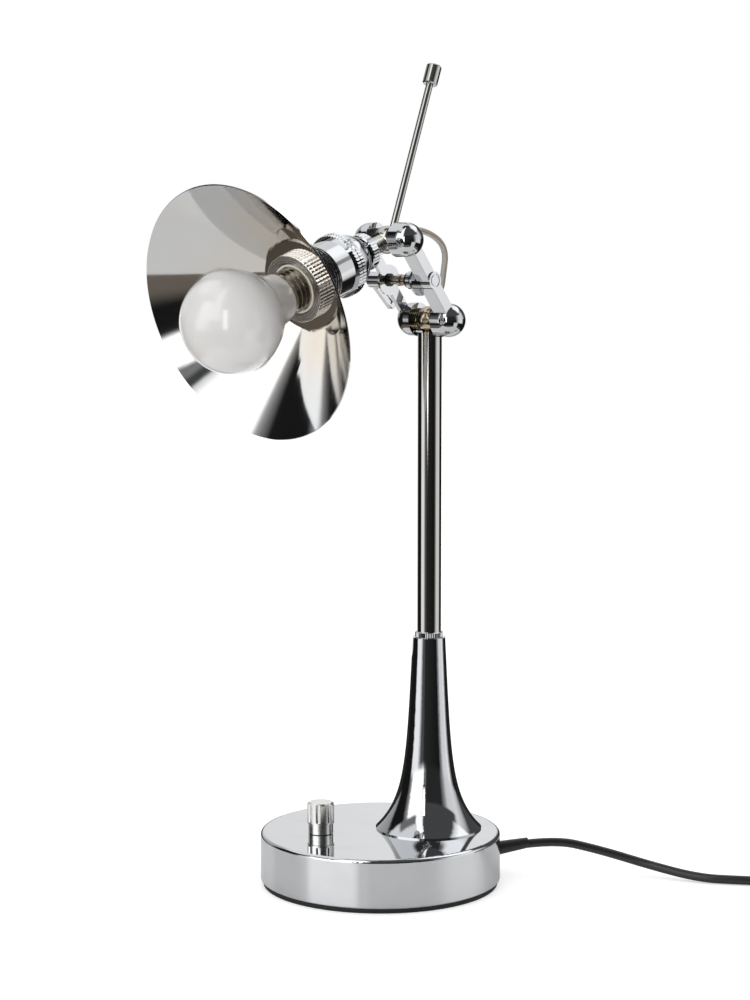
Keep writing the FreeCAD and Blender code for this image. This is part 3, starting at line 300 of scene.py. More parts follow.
def drawn_steel(name, colour, roughness):
    """Ground and polished rod: fine rings of grinding across its length."""
    material, graph = new_material(name)
    place = graph.place()
    grind = graph.lines(graph.parts(place)[2], scale=2600.0, detail=1.0)
    clouds = graph.noise(place, scale=70.0, detail=2.0)
    graph.surface(
        {
            "Base Color": graph.mix(clouds, colour, scaled(colour, 0.9)),
            "Metallic": 1.0,
            "Roughness": roughness + grind * 0.05 + clouds * 0.03,
            "Normal": graph.bump(grind, strength=0.06, distance=0.00008),
        }
    )
    return material


def turned_brass(name, colour, dark, roughness, above=None):
    """Turned brass, a little tarnished. Above the arm's middle it may have another colour."""
    material, graph = new_material(name)
    place = graph.place()
    clouds = graph.noise(place, scale=260.0, detail=4.0, roughness=0.6)
    tarnish = graph.steps(clouds, 0.42, 0.68)
    grain = graph.noise(place, scale=1500.0, detail=1.0)
    tone = graph.mix(tarnish, colour, dark)
    if above:
        height = graph.parts(place)[2]
        upper = graph.steps(height, ARM_MIDDLE_Z - 0.002, ARM_MIDDLE_Z + 0.002)
        tone = graph.mix(upper, tone, above)
    graph.surface(
        {
            "Base Color": tone,
            "Metallic": 1.0,
            "Roughness": roughness + tarnish * 0.08 + grain * 0.03,
            "Normal": graph.bump(grain, strength=0.06, distance=0.00006),
        }
    )
    return material


def round_axis(graph, place):
    """Distance from the head's axis, and along it from the upper ball, in metres."""
    from_ball = graph.vectors("SUBTRACT", {0: place, 1: UPPER_BALL})[0]
    crossed = graph.vectors("CROSS_PRODUCT", {0: from_ball, 1: HEAD_AXIS})[0]
    radius = graph.vectors("LENGTH", {0: crossed})[1]
    return radius, graph.dot(from_ball, HEAD_AXIS)


def spun_aluminium(name, colour, roughness):
    """Spun sheet: fine rings and warm clouds, and a painted reflection that is cooler at the rim
    and tan near the middle.
    """
    material, graph = new_material(name)
    place = graph.place()
    radius, _ = round_axis(graph, place)
    fine = graph.lines(radius, scale=2400.0, detail=2.0)
    broad = graph.lines(radius, scale=160.0, detail=1.0)
    bloom = graph.noise(place, scale=24.0, detail=3.0)
    # Painted reflection: a cool tint towards the rim and a tan one near the middle, set by distance
    # from the head's axis.
    reflected_cool = (colour[0] * 0.98, colour[1], colour[2] * 1.03)
    warm = (colour[0] * 0.98, colour[1] * 0.95, colour[2] * 0.9)
    reflected_tan = (colour[0] * 1.01, colour[1] * 0.965, colour[2] * 0.9)
    tone = graph.mix(graph.steps(radius, 0.045, 0.07), colour, reflected_cool)
    tone = graph.mix(graph.steps(bloom, 0.42, 0.7) * 0.7, tone, warm)
    tone = graph.mix((1.0 - graph.steps(radius, 0.03, 0.058)) * 0.7, tone, reflected_tan)
    graph.surface(
        {
            "Base Color": tone,
            "Metallic": 1.0,
            "Roughness": roughness + fine * 0.03 + broad * 0.02 + bloom * 0.03,
            "Normal": graph.bump(fine * 0.4 + broad * 0.6, strength=0.05, distance=0.0001),
        }
    )
    return material


def faced_ring(name, colour, roughness, pitch):
    """Polished ring whose front face was turned in fine steps, with painted shade darkening the
    grooves.
    """
    material, graph = new_material(name)
    radius, _ = round_axis(graph, graph.place())
    land_vs_shaded_groove = graph.steps(graph.math("PINGPONG", radius / pitch, 0.5), 0.1, 0.22)  # 0 in the grooves
    graph.surface(
        {
            # Painted shade: the grooves get a colour far darker than the lands.
            "Base Color": graph.mix(land_vs_shaded_groove, scaled(colour, 0.3), colour),
            "Metallic": 1.0,
            "Roughness": roughness + (1.0 - land_vs_shaded_groove) * 0.15,
            "Normal": graph.bump(land_vs_shaded_groove, strength=0.5, distance=0.0002),
        }
    )
    return material


def cut_thread(name, dark, bright, pitch):
    """Blackened thread with its crests rubbed bright."""
    material, graph = new_material(name)
    place = graph.place()
    _, along = round_axis(graph, place)
    crest = graph.math("PINGPONG", along / pitch, 0.5)
    wear = graph.steps(graph.noise(place, scale=700.0, detail=2.0), 0.36, 0.52)
    rubbed = graph.steps(crest, 0.27, 0.42) * wear
    graph.surface(
        {
            "Base Color": graph.mix(rubbed, dark, bright),
            "Metallic": 1.0,
            "Roughness": 0.3 - rubbed * 0.14,
            "Normal": graph.bump(crest, strength=0.6, distance=0.0003),
        }
    )
    return material


FINE_GRAIN = (900.0, 0.0001)  # a grain's scale and depth


def moulded(name, colour, roughness, grain_scale, grain_depth, coat=0.0):
    """Moulded plastic or rubber with a fine grain and faint mottling."""
    material, graph = new_material(name)
    place = graph.place()
    mottle = graph.noise(place, scale=90.0, detail=3.0)
    grain = graph.noise(place, scale=grain_scale, detail=2.0)
    graph.surface(
        {
            "Base Color": graph.mix(mottle, colour, scaled(colour, 0.86)),
            "Roughness": roughness + (mottle - 0.5) * 0.12,
            "Coat Weight": coat,
            "Coat Roughness": 0.08,
            "Normal": graph.bump(grain, strength=0.25, distance=grain_depth),
        }
    )
    return material


def cast_iron(name):
    """Rough cast disc under dark paint."""
    material, graph = new_material(name)
    cast = graph.noise(graph.place(), scale=380.0, detail=5.0, roughness=0.65)
    graph.surface(
        {
            "Base Color": graph.mix(cast, (0.035, 0.035, 0.038), (0.075, 0.07, 0.068)),
            "Metallic": 0.3,
            "Roughness": 0.55 + cast * 0.25,
            "Normal": graph.bump(cast, strength=0.6, distance=0.0003),
        }
    )
    return material


def glazed(name, colour):
    """Glazed porcelain, with a painted glow that stands in for the light bounced into the holder.
    """
    material, graph = new_material(name)
    pooling = graph.noise(graph.place(), scale=140.0, detail=2.0)
    graph.surface(
        {
            "Base Color": graph.mix(pooling, colour, scaled(colour, 0.92)),
            "Roughness": 0.12 + pooling * 0.08,
            # Painted light: a faint glow in place of the light bounced into the holder.
            "Emission Color": (*colour, 1.0),
            "Emission Strength": 0.16,
            "Coat Weight": 0.6,
            "Coat Roughness": 0.05,
            "Normal": graph.bump(pooling, strength=0.15, distance=0.0002),
        }
    )
    return material


def opal(name, colour, roughness):
    """Opal plastic of the bulb: milky, with a soft gloss."""
    material, graph = new_material(name)
    milk = graph.noise(graph.place(), scale=55.0, detail=2.0)
    graph.surface(
        {
            "Base Color": graph.mix(milk, colour, scaled(colour, 0.96)),
            "Roughness": roughness + milk * 0.06,
            "Subsurface Weight": 0.35,
            "Subsurface Radius": (0.006, 0.005, 0.004),
            "Coat Weight": 1.0,
            "Coat Roughness": 0.025,
            "Normal": graph.bump(milk, strength=0.05, distance=0.0002),
        }
    )
    return material


def clear_sheath(name, outside, inside):
    """Clear plastic sheath whose two brown cores show as stripes along its length."""
    material, graph = new_material(name)
    around = graph.parts(graph.node("ShaderNodeTexCoord")[2])[0]  # 0 to 1 round the cable
    twice = graph.math("PINGPONG", around * 2.0, 0.5)
    core = 1.0 - graph.steps(twice, 0.06, 0.24)
    clouds = graph.noise(graph.place(), scale=220.0, detail=2.0)
    graph.surface(
        {
            "Base Color": graph.mix(core * (0.7 + clouds * 0.3), outside, inside),
            "Roughness": 0.16 + clouds * 0.1,
            "Coat Weight": 0.7,
            "Coat Roughness": 0.06,
            "Normal": graph.bump(clouds, strength=0.1, distance=0.0002),
        }
    )
    return material


def colour_setting(name, about, default):
    return bpy.props.FloatVectorProperty(
        name=name, description=about, subtype="COLOR", size=3, min=0.0, max=1.0, default=default
    )


def number_setting(name, about, default, **options):
    return bpy.props.FloatProperty(name=name, description=about, default=default, **options)


def part_setting(name, about, default):
    return number_setting(name, about, default, min=0.0, max=1.0)


def length_setting(name, about, default):
    return number_setting(name, about, default, min=0.0, unit="LENGTH")


class LampFinish(bpy.types.PropertyGroup):
    chrome: colour_setting("Chrome", "Colour of the polished plating", (0.62, 0.632, 0.65))
    chrome_roughness: part_setting("Chrome Roughness", "Roughness of the polished plating", 0.03)
    steel: colour_setting("Steel", "Colour of the post and the handle rod", (0.58, 0.57, 0.55))
    steel_roughness: part_setting("Steel Roughness", "Roughness of the post", 0.05)
    rod_roughness: part_setting("Rod Roughness", "Roughness of the handle rod", 0.13)
    reflector: colour_setting("Reflector", "Colour of the spun reflector", (0.68, 0.672, 0.66))
    reflector_roughness: part_setting("Reflector Roughness", "Roughness of the reflector", 0.03)
    brass: colour_setting("Brass", "Colour of the lower ball and its pads", (0.56, 0.48, 0.35))
    nickel: colour_setting("Nickel", "Colour of the upper ball and its pads", (0.55, 0.535, 0.505))
    bulb: colour_setting("Bulb", "Colour of the opal globe", (0.86, 0.85, 0.845))
    collar: colour_setting("Bulb Collar", "Colour of the bulb's collar", (0.84, 0.825, 0.8))


class LampCord(bpy.types.PropertyGroup):
    radius: length_setting("Cord Radius", "Radius of the mains cord", 0.00275)
    length: length_setting("Cord Length", "Length of the mains cord from the base to the plug", 1.8)
    cable_radius: length_setting("Cable Radius", "Radius of the cable beside the arm", 0.0019)


class LampStage(bpy.types.PropertyGroup):
    softbox: number_setting("Softbox", "Brightness of the softbox on the left", 1.8)
    ceiling: number_setting("Ceiling", "Brightness of the ceiling", 0.97)
    soft_light: number_setting("Soft Light", "Strength of the even light on matt parts", 0.9)
    floor_radius: length_setting("Floor Radius", "Radius of the pale floor", 6.0)
    strip: number_setting("Strip", "Brightness of the strip light", 4.0)
    lens: number_setting("Lens", "Focal length in millimetres", 86.4)


# ---------------------------------------------------------------- operators


class LAMP_OT_plating(bpy.types.Operator):
    """Finishes the chromed parts."""

    bl_idname = "lamp.plating"
    bl_label = "Plating"

    def execute(self, context):
        finish = context.scene.lamp_finish
        chrome = tuple(finish.chrome)
        roughness = finish.chrome_roughness
        # Painted light: the drum's plating is a lighter copy of the same chrome, so that its side
        # shows brighter.
        lightened_chrome = scaled(chrome, 1.14)
        dress(polished_plate("drum_plate", lightened_chrome, roughness, haze=0.05), "base_shell")
        dress(polished_plate("knob_plate", (0.86, 0.855, 0.84), 0.2, haze=0.05), "dimmer_knob")
        dress(
            polished_plate("chrome_plate", chrome, roughness, haze=0.05),
            "column_flare",
            "column_ring",
            "half_arm_front",
            "half_arm_rear",
            "tie_bolt",
            "clamp_disc",
            "clamp_lever",
            "lock_ring",
            "holder_cap",
            "holder_ring",
            "holder_skirt",
        )
        return {"FINISHED"}


class LAMP_OT_steel(bpy.types.Operator):
    """Finishes the post, the handle rod and the plain steel parts."""

    bl_idname = "lamp.steel"
    bl_label = "Steel"

    def execute(self, context):
        finish = context.scene.lamp_finish
        steel = tuple(finish.steel)
        dress(drawn_steel("ground_steel", steel, finish.steel_roughness), "post_tube")
        dress(drawn_steel("rod_steel", steel, finish.rod_roughness), "handle_rod", "handle_tip")
        dress(
            drawn_steel("plain_steel", (0.5, 0.5, 0.51), 0.22),
            "base_cover",
            "cover_screws",
            "column_rod",
            "column_nuts",
            "post_bush",
            "stem_ring",
            "dimmer_shaft",
        )
        dress(cast_iron("ballast_iron"), "base_ballast")
        dress(moulded("blackened_metal", (0.012, 0.012, 0.013), 0.3, *FINE_GRAIN), "bolt_washers")
        dress(
            cut_thread("blackened_thread", (0.03, 0.03, 0.032), (0.62, 0.61, 0.59), pitch=0.001),
            "holder_thread",
        )
        return {"FINISHED"}


class LAMP_OT_brass(bpy.types.Operator):
    """Finishes the balls, the pads and the contacts."""

    bl_idname = "lamp.brass"
    bl_label = "Brass"

    def execute(self, context):
        finish = context.scene.lamp_finish
        brass = tuple(finish.brass)
        nickel = tuple(finish.nickel)
        dress(
            turned_brass("joint_brass", brass, scaled(brass, 0.65), 0.1, above=nickel),
            "lower_ball",
            "upper_ball",
            "friction_pads",
            "post_collar",
        )
        dress(
            turned_brass("raw_brass", (0.6, 0.46, 0.27), (0.36, 0.26, 0.15), 0.16),
            "contact_sleeve",
            "centre_contact",
            "dimmer_bush",
            "plug_pins",
        )
        dress(turned_brass("bronze", (0.5, 0.43, 0.36), (0.3, 0.25, 0.2), 0.22), "bolt_sleeve")
        dress(
            turned_brass("cap_metal", (0.74, 0.69, 0.6), (0.62, 0.55, 0.44), 0.1),
            "bulb_cap",
            "bulb_foot",
        )
        return {"FINISHED"}


class LAMP_OT_reflector(bpy.types.Operator):
    """Finishes the spun reflector and its ring."""

    bl_idname = "lamp.reflector"
    bl_label = "Reflector"

    def execute(self, context):
        finish = context.scene.lamp_finish
        dress(
            spun_aluminium("spun_reflector", tuple(finish.reflector), finish.reflector_roughness),
            "reflector_shade",
        )
        dress(faced_ring("nickelled_ring", (0.9, 0.885, 0.86), 0.24, pitch=0.0013), "shade_ring")
        return {"FINISHED"}


class LAMP_OT_bulb(bpy.types.Operator):
    """Finishes the bulb and the porcelain round it."""

    bl_idname = "lamp.bulb"
    bl_label = "Bulb"

    def execute(self, context):
        finish = context.scene.lamp_finish
        dress(opal("opal_globe", tuple(finish.bulb), 0.2), "bulb_globe")
        dress(opal("bulb_collar", tuple(finish.collar), 0.28), "bulb_collar")
        dress(glazed("porcelain", (0.9, 0.87, 0.81)), "porcelain_insert")
        return {"FINISHED"}


class LAMP_OT_plastics(bpy.types.Operator):
    """Finishes the rubber foot, the leads and the plastic parts inside."""

    bl_idname = "lamp.plastics"
    bl_label = "Plastics"

    def execute(self, context):
        dress(moulded("foot_rubber", (0.012, 0.012, 0.012), 0.6, 1400.0, 0.0002), "foot_pad")
        dress(moulded("dark_plastic", (0.03, 0.03, 0.033), 0.45, *FINE_GRAIN), "dimmer_body")
        dress(moulded("pale_plastic", (0.75, 0.75, 0.71), 0.4, *FINE_GRAIN), "terminal_block")
        dress(
            moulded("lead_sheath", (0.62, 0.6, 0.55), 0.35, *FINE_GRAIN),
            "base_leads",
            "post_lead",
            "head_leads",
        )
        dress(
            moulded("cord_end_rubber", (0.016, 0.016, 0.017), 0.38, 1100.0, 0.0001),
            "cord_relief",
            "plug_body",
        )
        return {"FINISHED"}


def coil_points():
    """The rest of the cord's control points: eight turns in three layers, then up into the plug."""
    radius = bpy.context.scene.lamp_cord.radius
    inner = COIL_MIDDLE - 2 * radius
    outer = COIL_MIDDLE + 2 * radius
    end = Vector(CORD_ROUTE[-1])
    centre = end - outer * Vector((math.cos(COIL_ENTRY), math.sin(COIL_ENTRY), 0))
    # Each run: its turns, its first and last radius, and its first and last layer
    runs = [(2, outer, inner, 0, 0), (1, inner, inner, 0, 1), (2, inner, outer, 1, 1)]
    runs += [(1, outer, outer, 1, 2), (2, outer, inner, 2, 2)]

    def at(turns, reach, height, ahead=0.0):
        angle = COIL_ENTRY + 2 * math.pi * turns
        out = Vector((math.cos(angle), math.sin(angle), 0))
        along = Vector((-math.sin(angle), math.cos(angle), 0))
        return Vector((centre.x, centre.y, height)) + out * reach + along * ahead

    points = []
    done = 0
    for turns, start, stop, low, high in runs:
        steps = turns * POINTS_PER_TURN
        for i in range(1, steps + 1):
            part = i / steps
            reach = start + (stop - start) * part
            height = radius * (1 + 2 * (low + (high - low) * part))
            points.append(at(done + turns * part, reach, height))
        done += turns
    low = 5 * radius  # the middle of the top layer's cord
    rise = radius + PLUG_HEIGHT / 2
    for degrees, part in PLUG_RISE:
        points.append(at(done + degrees / 360, inner, low + part * rise))
    points.append(at(done + PLUG_TURN / 360, inner, low + rise, PLUG_SET_OFF))
    return points


def smooth_route(name, points, radius=0.0, steps=8):
    """A curve object of one NURBS spline with those control points."""
    curve = bpy.data.curves.new(name, "CURVE")
    curve.dimensions = "3D"
    spline = curve.splines.new("NURBS")
    spline.points.add(len(points) - 1)
    for control, point in zip(spline.points, points):
        control.co = (*point, 1.0)
    spline.order_u = 3
    spline.use_endpoint_u = True
    spline.resolution_u = steps
    curve.bevel_depth = radius
    curve.bevel_resolution = 5
    curve.use_fill_caps = radius > 0
    piece = bpy.data.objects.new(name, curve)
    bpy.context.scene.collection.objects.link(piece)
    return piece


class LAMP_OT_mains_cord(bpy.types.Operator):
    """Lays the mains cord from the base to its coil and its plug."""

    bl_idname = "lamp.mains_cord"
    bl_label = "Mains Cord"

    def execute(self, context):
        cord = context.scene.lamp_cord
        route = [Vector(point) for point in CORD_ROUTE] + coil_points()
        piece = smooth_route("mains_cord_piece", route, cord.radius)
        sheath = moulded("cord_sheath", (0.014, 0.014, 0.015), 0.34, 1300.0, 0.00012, coat=0.2)
        piece.data.materials.append(sheath)
        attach(piece, "base")
        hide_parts("mains_cord", "cord_coil", "plug_lead")
        return {"FINISHED"}


def path_of(route):
    """Points along a route's NURBS curve, in order."""
    guide = smooth_route("guide", route, steps=CABLE_STEPS)
    mesh = bpy.data.meshes.new_from_object(guide)
    points = [vertex.co.copy() for vertex in mesh.vertices]
    bpy.data.meshes.remove(mesh)
    curve = guide.data
    bpy.data.objects.remove(guide)
    bpy.data.curves.remove(curve)
    return points


def tube(name, path, radius):
    """A mesh tube along a path, with its texture coordinates round it and along it."""
    along = [(b - a).normalized() for a, b in zip(path, path[1:])]
    along = [along[0]] + [(a + b).normalized() for a, b in zip(along, along[1:])] + [along[-1]]
    side = CLAMP_AXIS
    vertices = []
    for point, way in zip(path, along):
        across = (side - way * side.dot(way)).normalized()
        other = way.cross(across)
        for i in range(CABLE_SIDES):
            angle = 2 * math.pi * i / CABLE_SIDES
            vertices.append(point + (across * math.cos(angle) + other * math.sin(angle)) * radius)
    faces = []
    for ring in range(len(path) - 1):
        for i in range(CABLE_SIDES):
            low = ring * CABLE_SIDES
            j = (i + 1) % CABLE_SIDES
            faces.append((low + i, low + j, low + CABLE_SIDES + j, low + CABLE_SIDES + i))
    faces.append(tuple(reversed(range(CABLE_SIDES))))
    faces.append(tuple(range(len(vertices) - CABLE_SIDES, len(vertices))))
    mesh = bpy.data.meshes.new(name)
    mesh.from_pydata(vertices, [], faces)
    layer = mesh.uv_layers.new(name="round_and_along")
    for face in mesh.polygons[:-2]:  # all but the two ends
        face.use_smooth = True
        ring, i = divmod(face.index, CABLE_SIDES)
        corners = [(i, ring), (i + 1, ring), (i + 1, ring + 1), (i, ring + 1)]
        for loop, (u, v) in zip(face.loop_indices, corners):
            layer.data[loop].uv = (u / CABLE_SIDES, v / len(path))
    piece = bpy.data.objects.new(name, mesh)
    bpy.context.scene.collection.objects.link(piece)
    return piece


class LAMP_OT_arm_cable(bpy.types.Operator):
    """Makes the cable that loops past the arm from one ball to the other."""

    bl_idname = "lamp.arm_cable"
    bl_label = "Arm Cable"

    def execute(self, context):
        cord = context.scene.lamp_cord
        post = Vector((LOWER_BALL.x, LOWER_BALL.y, 0))
        sheath = clear_sheath("clear_sheath", (0.56, 0.535, 0.5), (0.2, 0.135, 0.085))
        both = (
            ("arm_cable_upper", CABLE_UPPER, "upper_ball", "arm"),
            ("arm_cable_lower", CABLE_LOWER[::-1], "lower_ball", "arm"),
        )
        for node, route, ball, arm in both:
            points = [post + FORWARD * ahead + Vector((0, 0, height)) for ahead, height in route]
            path = path_of(points)
            piece = tube(node + "_piece", path, cord.cable_radius)
            piece.data.materials.append(sheath)
            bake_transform(piece)
            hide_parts(node)
        return {"FINISHED"}


def panels(graph, turn, stops):
    """The brightness of the walls, given at some of the degrees to the camera's right."""
    brightest = max(value for _, value in stops)
    ramp = [((degrees + 180) / 360, (value / brightest,) * 3) for degrees, value in stops]
    ring = graph.node("ShaderNodeValToRGB", {"stops": ramp}, {0: turn / 360 + 0.5})[0]
    return graph.vectors("SCALE", {0: ring, "Scale": brightest})[0]


def walls(graph, turn, height, soft):
    """Panels and gaps round the lamp in a low and a high ring, and a dark lintel in front."""
    dark = GLOOM[0]
    low = [
        (-180, 0.95),
        (-148, 0.95),
        (-138, dark),
        (-86, dark),
        (-80, 0.7 * soft),
        (-56, 0.7 * soft),
        (-46, 0.5),
        (-40, 0.1),
        (-30, 0.1),
        (-24, 0.03),
        (50, dark),
        (60, 0.36),
        (70, 0.95),
        (90, 1.0),
        (96, 1.25),
        (102, 0.9),
        (108, 0.35),
        (116, dark),
        (156, dark),
        (166, 0.15),
        (176, 0.95),
    ]
    high = [
        (-180, 0.9),
        (-150, 0.5),
        (-127, 0.4),
        (-120, dark),
        (-88, dark),
        (-80, 0.25),
        (-75, 0.5),
        (-70, soft),
        (-27, soft),
        (-21, 0.9),
        (-20, 0.05),
        (-17, 0.05),
        (-15, 0.3),
        (-10, 0.03),
        (46, 0.03),
        (58, 0.3),
        (70, 0.85),
        (98, 1.0),
        (112, 0.7),
        (124, 0.08),
        (164, 0.08),
        (176, 0.9),
    ]
    raised = graph.steps(height, 0.03, 0.1)
    ring = graph.mix(raised, panels(graph, turn, low), panels(graph, turn, high))
    lintel = graph.band(turn, (-20, -14), (84, 96)) * graph.steps(height, 0.43, 0.49)
    return graph.mix(lintel, ring, (0.08, 0.08, 0.08))


def overhead(graph, turn, height, brightness):
    """The ceiling, with a grey gap on the left, a bright window on the right and a dark middle."""
    gap = graph.band(turn, (-100, -90), (-50, -40)) * (1.0 - graph.steps(height, 0.74, 0.8))
    window = graph.band(turn, (84, 100), (140, 156)) * (1.0 - graph.steps(height, 0.9, 0.96))
    ceiling = scaled((0.985, 0.995, 1.0), brightness)
    colour = graph.mix(gap, ceiling, (0.22, 0.215, 0.21))
    colour = graph.mix(window, colour, (1.5, 1.5, 1.5))
    return graph.mix(graph.steps(height, 0.93, 0.97), colour, (0.04, 0.04, 0.04))


def underneath(graph, turn, drop):
    """Gloom that gives way to a dim warm carpet further down, and a pale card on the right."""
    left = 1.0 - graph.steps(turn, -60, -30)
    near = graph.steps(drop + left * 0.14, 0.5, 0.68)
    carpet = graph.mix(near, GLOOM, (0.17, 0.145, 0.12))
    card = graph.band(turn, (33, 39), (62, 68)) * (1.0 - graph.steps(drop, 0.68, 0.76))
    return graph.mix(card, carpet, (0.85, 0.85, 0.85))


def sky(graph, stage):
    """What the metal mirrors: walls round the lamp, the ceiling above and the gloom below."""
    way = graph.way()
    right = graph.dot(way, TO_THE_RIGHT)
    front = graph.dot(way, TOWARDS_CAMERA)
    turn = graph.math("ARCTAN2", right, front) * (180 / math.pi)  # degrees to the camera's right
    height = graph.parts(way)[2]
    drop = height * -1.0
    in_front = graph.band(turn, (-46, -40), (76, 88))
    above = graph.steps(height, 0.59, 0.66) * (1.0 - in_front)
    behind = graph.steps(graph.math("ABSOLUTE", turn), 144, 152)
    below = graph.steps(drop, 0.2, 0.3) * (1.0 - behind)
    ring = walls(graph, turn, height, stage.softbox)
    colour = graph.mix(above, ring, overhead(graph, turn, height, stage.ceiling))
    return graph.mix(below, colour, underneath(graph, turn, drop))


def soft_light(graph, stage):
    """The even light on the matt parts: a little stronger from the upper left, and warm."""
    way = graph.way()
    left = graph.dot(way, TO_THE_RIGHT) * -0.5 + 0.5
    high = graph.parts(way)[2] * 0.5 + 0.5
    strength = (0.72 + left * 0.2 + high * 0.25) * stage.soft_light
    channels = {0: strength, 1: strength * 0.995, 2: strength * 0.985}
    return graph.node("ShaderNodeCombineColor", None, channels)[0]


class LAMP_OT_stage(bpy.types.Operator):
    """Makes the pale floor, the studio round the lamp and the camera."""

    bl_idname = "lamp.stage"
    bl_label = "Stage"

    def execute(self, context):
        scene = context.scene
        stage = scene.lamp_stage
        self.light(scene, stage)
        self.floor(stage.floor_radius)
        for mirrored in (self.table(), self.strip(stage.strip), self.skirting()):
            mirrored.visible_camera = False
            mirrored.visible_diffuse = False
            mirrored.visible_shadow = False
        self.camera(scene, stage)
        return {"FINISHED"}

    def floor(self, radius):
        paper, graph = new_material("floor_paper")
        fibres = graph.noise(graph.place(), scale=600.0, detail=3.0)
        graph.surface(
            {
                "Base Color": graph.mix(fibres, (0.9, 0.9, 0.9), (0.87, 0.87, 0.87)),
                "Roughness": 0.6,
                "Emission Color": (*WHITE, 1.0),
                "Emission Strength": 0.4,
            }
        )
        rim = [2 * math.pi * i / FLOOR_SIDES for i in range(FLOOR_SIDES)]
        corners = [(radius * math.cos(a), radius * math.sin(a), FLOOR_HEIGHT) for a in rim]
        floor = self.sheet("floor", corners, paper)
        floor.visible_glossy = False
        floor.visible_diffuse = False

    def table(self):
        board, graph = new_material("table_board")
        sheen = graph.noise(graph.place(), scale=30.0, detail=2.0)
        graph.surface({"Base Color": (0.84, 0.84, 0.84, 1.0), "Roughness": 0.2 + sheen * 0.08})
        corners = [
            self.at(TABLE_BACK, TABLE_LEFT, TABLE_HEIGHT),
            self.at(TABLE_BACK, TABLE_RIGHT, TABLE_HEIGHT),
            self.at(TABLE_FRONT, TABLE_RIGHT, TABLE_HEIGHT),
            self.at(TABLE_FRONT, TABLE_LEFT, TABLE_HEIGHT),
        ]
        return self.sheet("table", corners, board)

    def strip(self, brightness):
        """A strip light that fades at its sides and its foot."""
        glow, graph = new_material("strip_light")
        place = graph.place()
        mottle = graph.noise(place, scale=12.0, detail=1.0)
        rise = (STRIP_LEFT, STRIP_LEFT + STRIP_SIDE_FADE)
        fall = (STRIP_RIGHT - STRIP_SIDE_FADE, STRIP_RIGHT)
        sides = graph.band(graph.dot(place, TO_THE_RIGHT), rise, fall)
        foot = graph.steps(graph.parts(place)[2], STRIP_FOOT, STRIP_FOOT + STRIP_FOOT_FADE)
        tone = graph.mix(mottle, WHITE, (0.8, 0.8, 0.8))
        graph.surface(
            {
                "Base Color": (*BLACK, 1.0),
                "Emission Color": graph.mix(sides * foot, BLACK, tone),
                "Emission Strength": brightness,
            }
        )
        across = (STRIP_LEFT, STRIP_RIGHT)
        return self.upright("strip", STRIP_AHEAD, across, (STRIP_FOOT, STRIP_TOP), glow)

    def skirting(self):
        felt, graph = new_material("black_felt")
        nap = graph.noise(graph.place(), scale=300.0, detail=3.0)
        tone = graph.mix(nap, (0.01, 0.01, 0.01), (0.02, 0.02, 0.02))
        graph.surface({"Base Color": tone, "Roughness": 0.9})
        across = (SKIRTING_LEFT, SKIRTING_RIGHT)
        return self.upright("skirting", -SKIRTING_BEHIND, across, (0.0, SKIRTING_HEIGHT), felt)

    def upright(self, name, ahead, across, heights, material):
        """A sheet that faces the lamp, from the left to the right and from low to high."""
        (left, right), (low, high) = across, heights
        sides = [(left, low), (right, low), (right, high), (left, high)]
        return self.sheet(name, [self.at(ahead, aside, up) for aside, up in sides], material)

    @staticmethod
    def at(ahead, aside, up):
        """A point by its distance towards the camera, to the camera's right and up."""
        return TOWARDS_CAMERA * ahead + TO_THE_RIGHT * aside + Vector((0, 0, up))

    @staticmethod
    def sheet(name, corners, material):
        """A flat sheet of the stage, given by its corners in order."""
        mesh = bpy.data.meshes.new(name)
        mesh.from_pydata(corners, [], [range(len(corners))])
        mesh.materials.append(material)
        piece = bpy.data.objects.new(name, mesh)
        bpy.context.scene.collection.objects.link(piece)
        piece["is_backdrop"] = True
        return piece

    @staticmethod
    def light(scene, stage):
        world = bpy.data.worlds.new("studio")
        world.use_nodes = True
        graph = Graph(world.node_tree)
        seen, _, matt = graph.node("ShaderNodeLightPath")[:3]
        colour = graph.mix(matt, sky(graph, stage), soft_light(graph, stage))
        colour = graph.mix(seen, colour, WHITE)
        background = graph.node("ShaderNodeBackground", None, {"Color": colour, "Strength": 1.0})[0]
        graph.node("ShaderNodeOutputWorld", None, {"Surface": background})
        scene.world = world
        scene.view_settings.view_transform = "Standard"

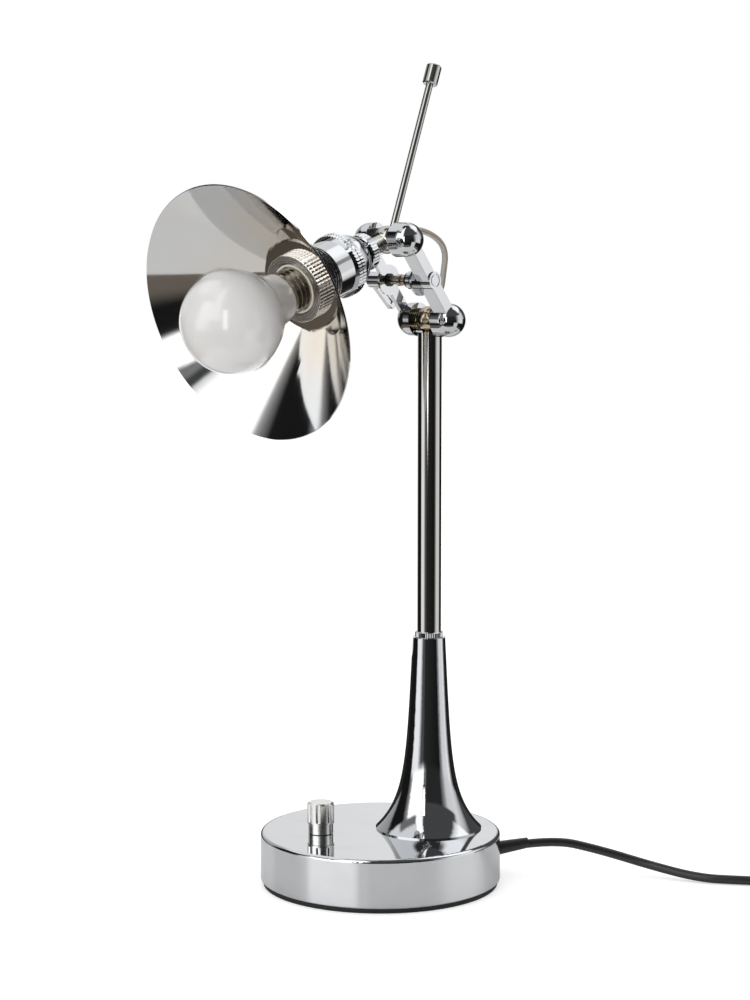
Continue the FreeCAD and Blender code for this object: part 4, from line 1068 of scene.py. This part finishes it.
    @staticmethod
    def camera(scene, stage):
        data = bpy.data.cameras.new("camera")
        data.lens = stage.lens
        data.sensor_width = 36.0
        data.sensor_fit = "AUTO"
        camera = bpy.data.objects.new("camera", data)
        scene.collection.objects.link(camera)
        back = TOWARDS_CAMERA * math.cos(CAMERA_PITCH) + Vector((0, 0, math.sin(CAMERA_PITCH)))
        up = back.cross(TO_THE_RIGHT)
        turn = Matrix((TO_THE_RIGHT, up, back)).transposed()
        camera.matrix_world = Matrix.Translation(CAMERA_AT) @ turn.to_4x4()
        scene.camera = camera


class LAMP_PT_panel(bpy.types.Panel):
    """Lists the lamp's settings and operators."""

    bl_idname = "LAMP_PT_panel"
    bl_label = "Searchlight Lamp"
    bl_space_type = "VIEW_3D"
    bl_region_type = "UI"
    bl_category = "Lamp"

    def draw(self, context):
        layout = self.layout
        for name, group in GROUPS.items():
            settings = getattr(context.scene, name)
            for key in group.__annotations__:
                layout.prop(settings, key)
        for operator in OPERATORS:
            layout.operator(operator.bl_idname)


GROUPS = {"lamp_finish": LampFinish, "lamp_cord": LampCord, "lamp_stage": LampStage}
OPERATORS = (
    LAMP_OT_stage,
    LAMP_OT_mains_cord,
    LAMP_OT_arm_cable,
    LAMP_OT_plating,
    LAMP_OT_steel,
    LAMP_OT_brass,
    LAMP_OT_reflector,
    LAMP_OT_bulb,
    LAMP_OT_plastics,
)


def register():
    for cls in (*GROUPS.values(), *OPERATORS, LAMP_PT_panel):
        bpy.utils.register_class(cls)
    for name, group in GROUPS.items():
        setattr(bpy.types.Scene, name, bpy.props.PointerProperty(type=group))


def unregister():
    for name in GROUPS:
        delattr(bpy.types.Scene, name)
    for cls in (LAMP_PT_panel, *reversed(OPERATORS), *GROUPS.values()):
        bpy.utils.unregister_class(cls)


def corners():
    return [list(corner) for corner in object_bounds()]


def main():
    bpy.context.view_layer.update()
    register()
    for operator in OPERATORS:
        group, name = operator.bl_idname.split(".")
        getattr(getattr(bpy.ops, group), name)()
    bpy.context.view_layer.update()


if __name__ == "__main__":
    main()
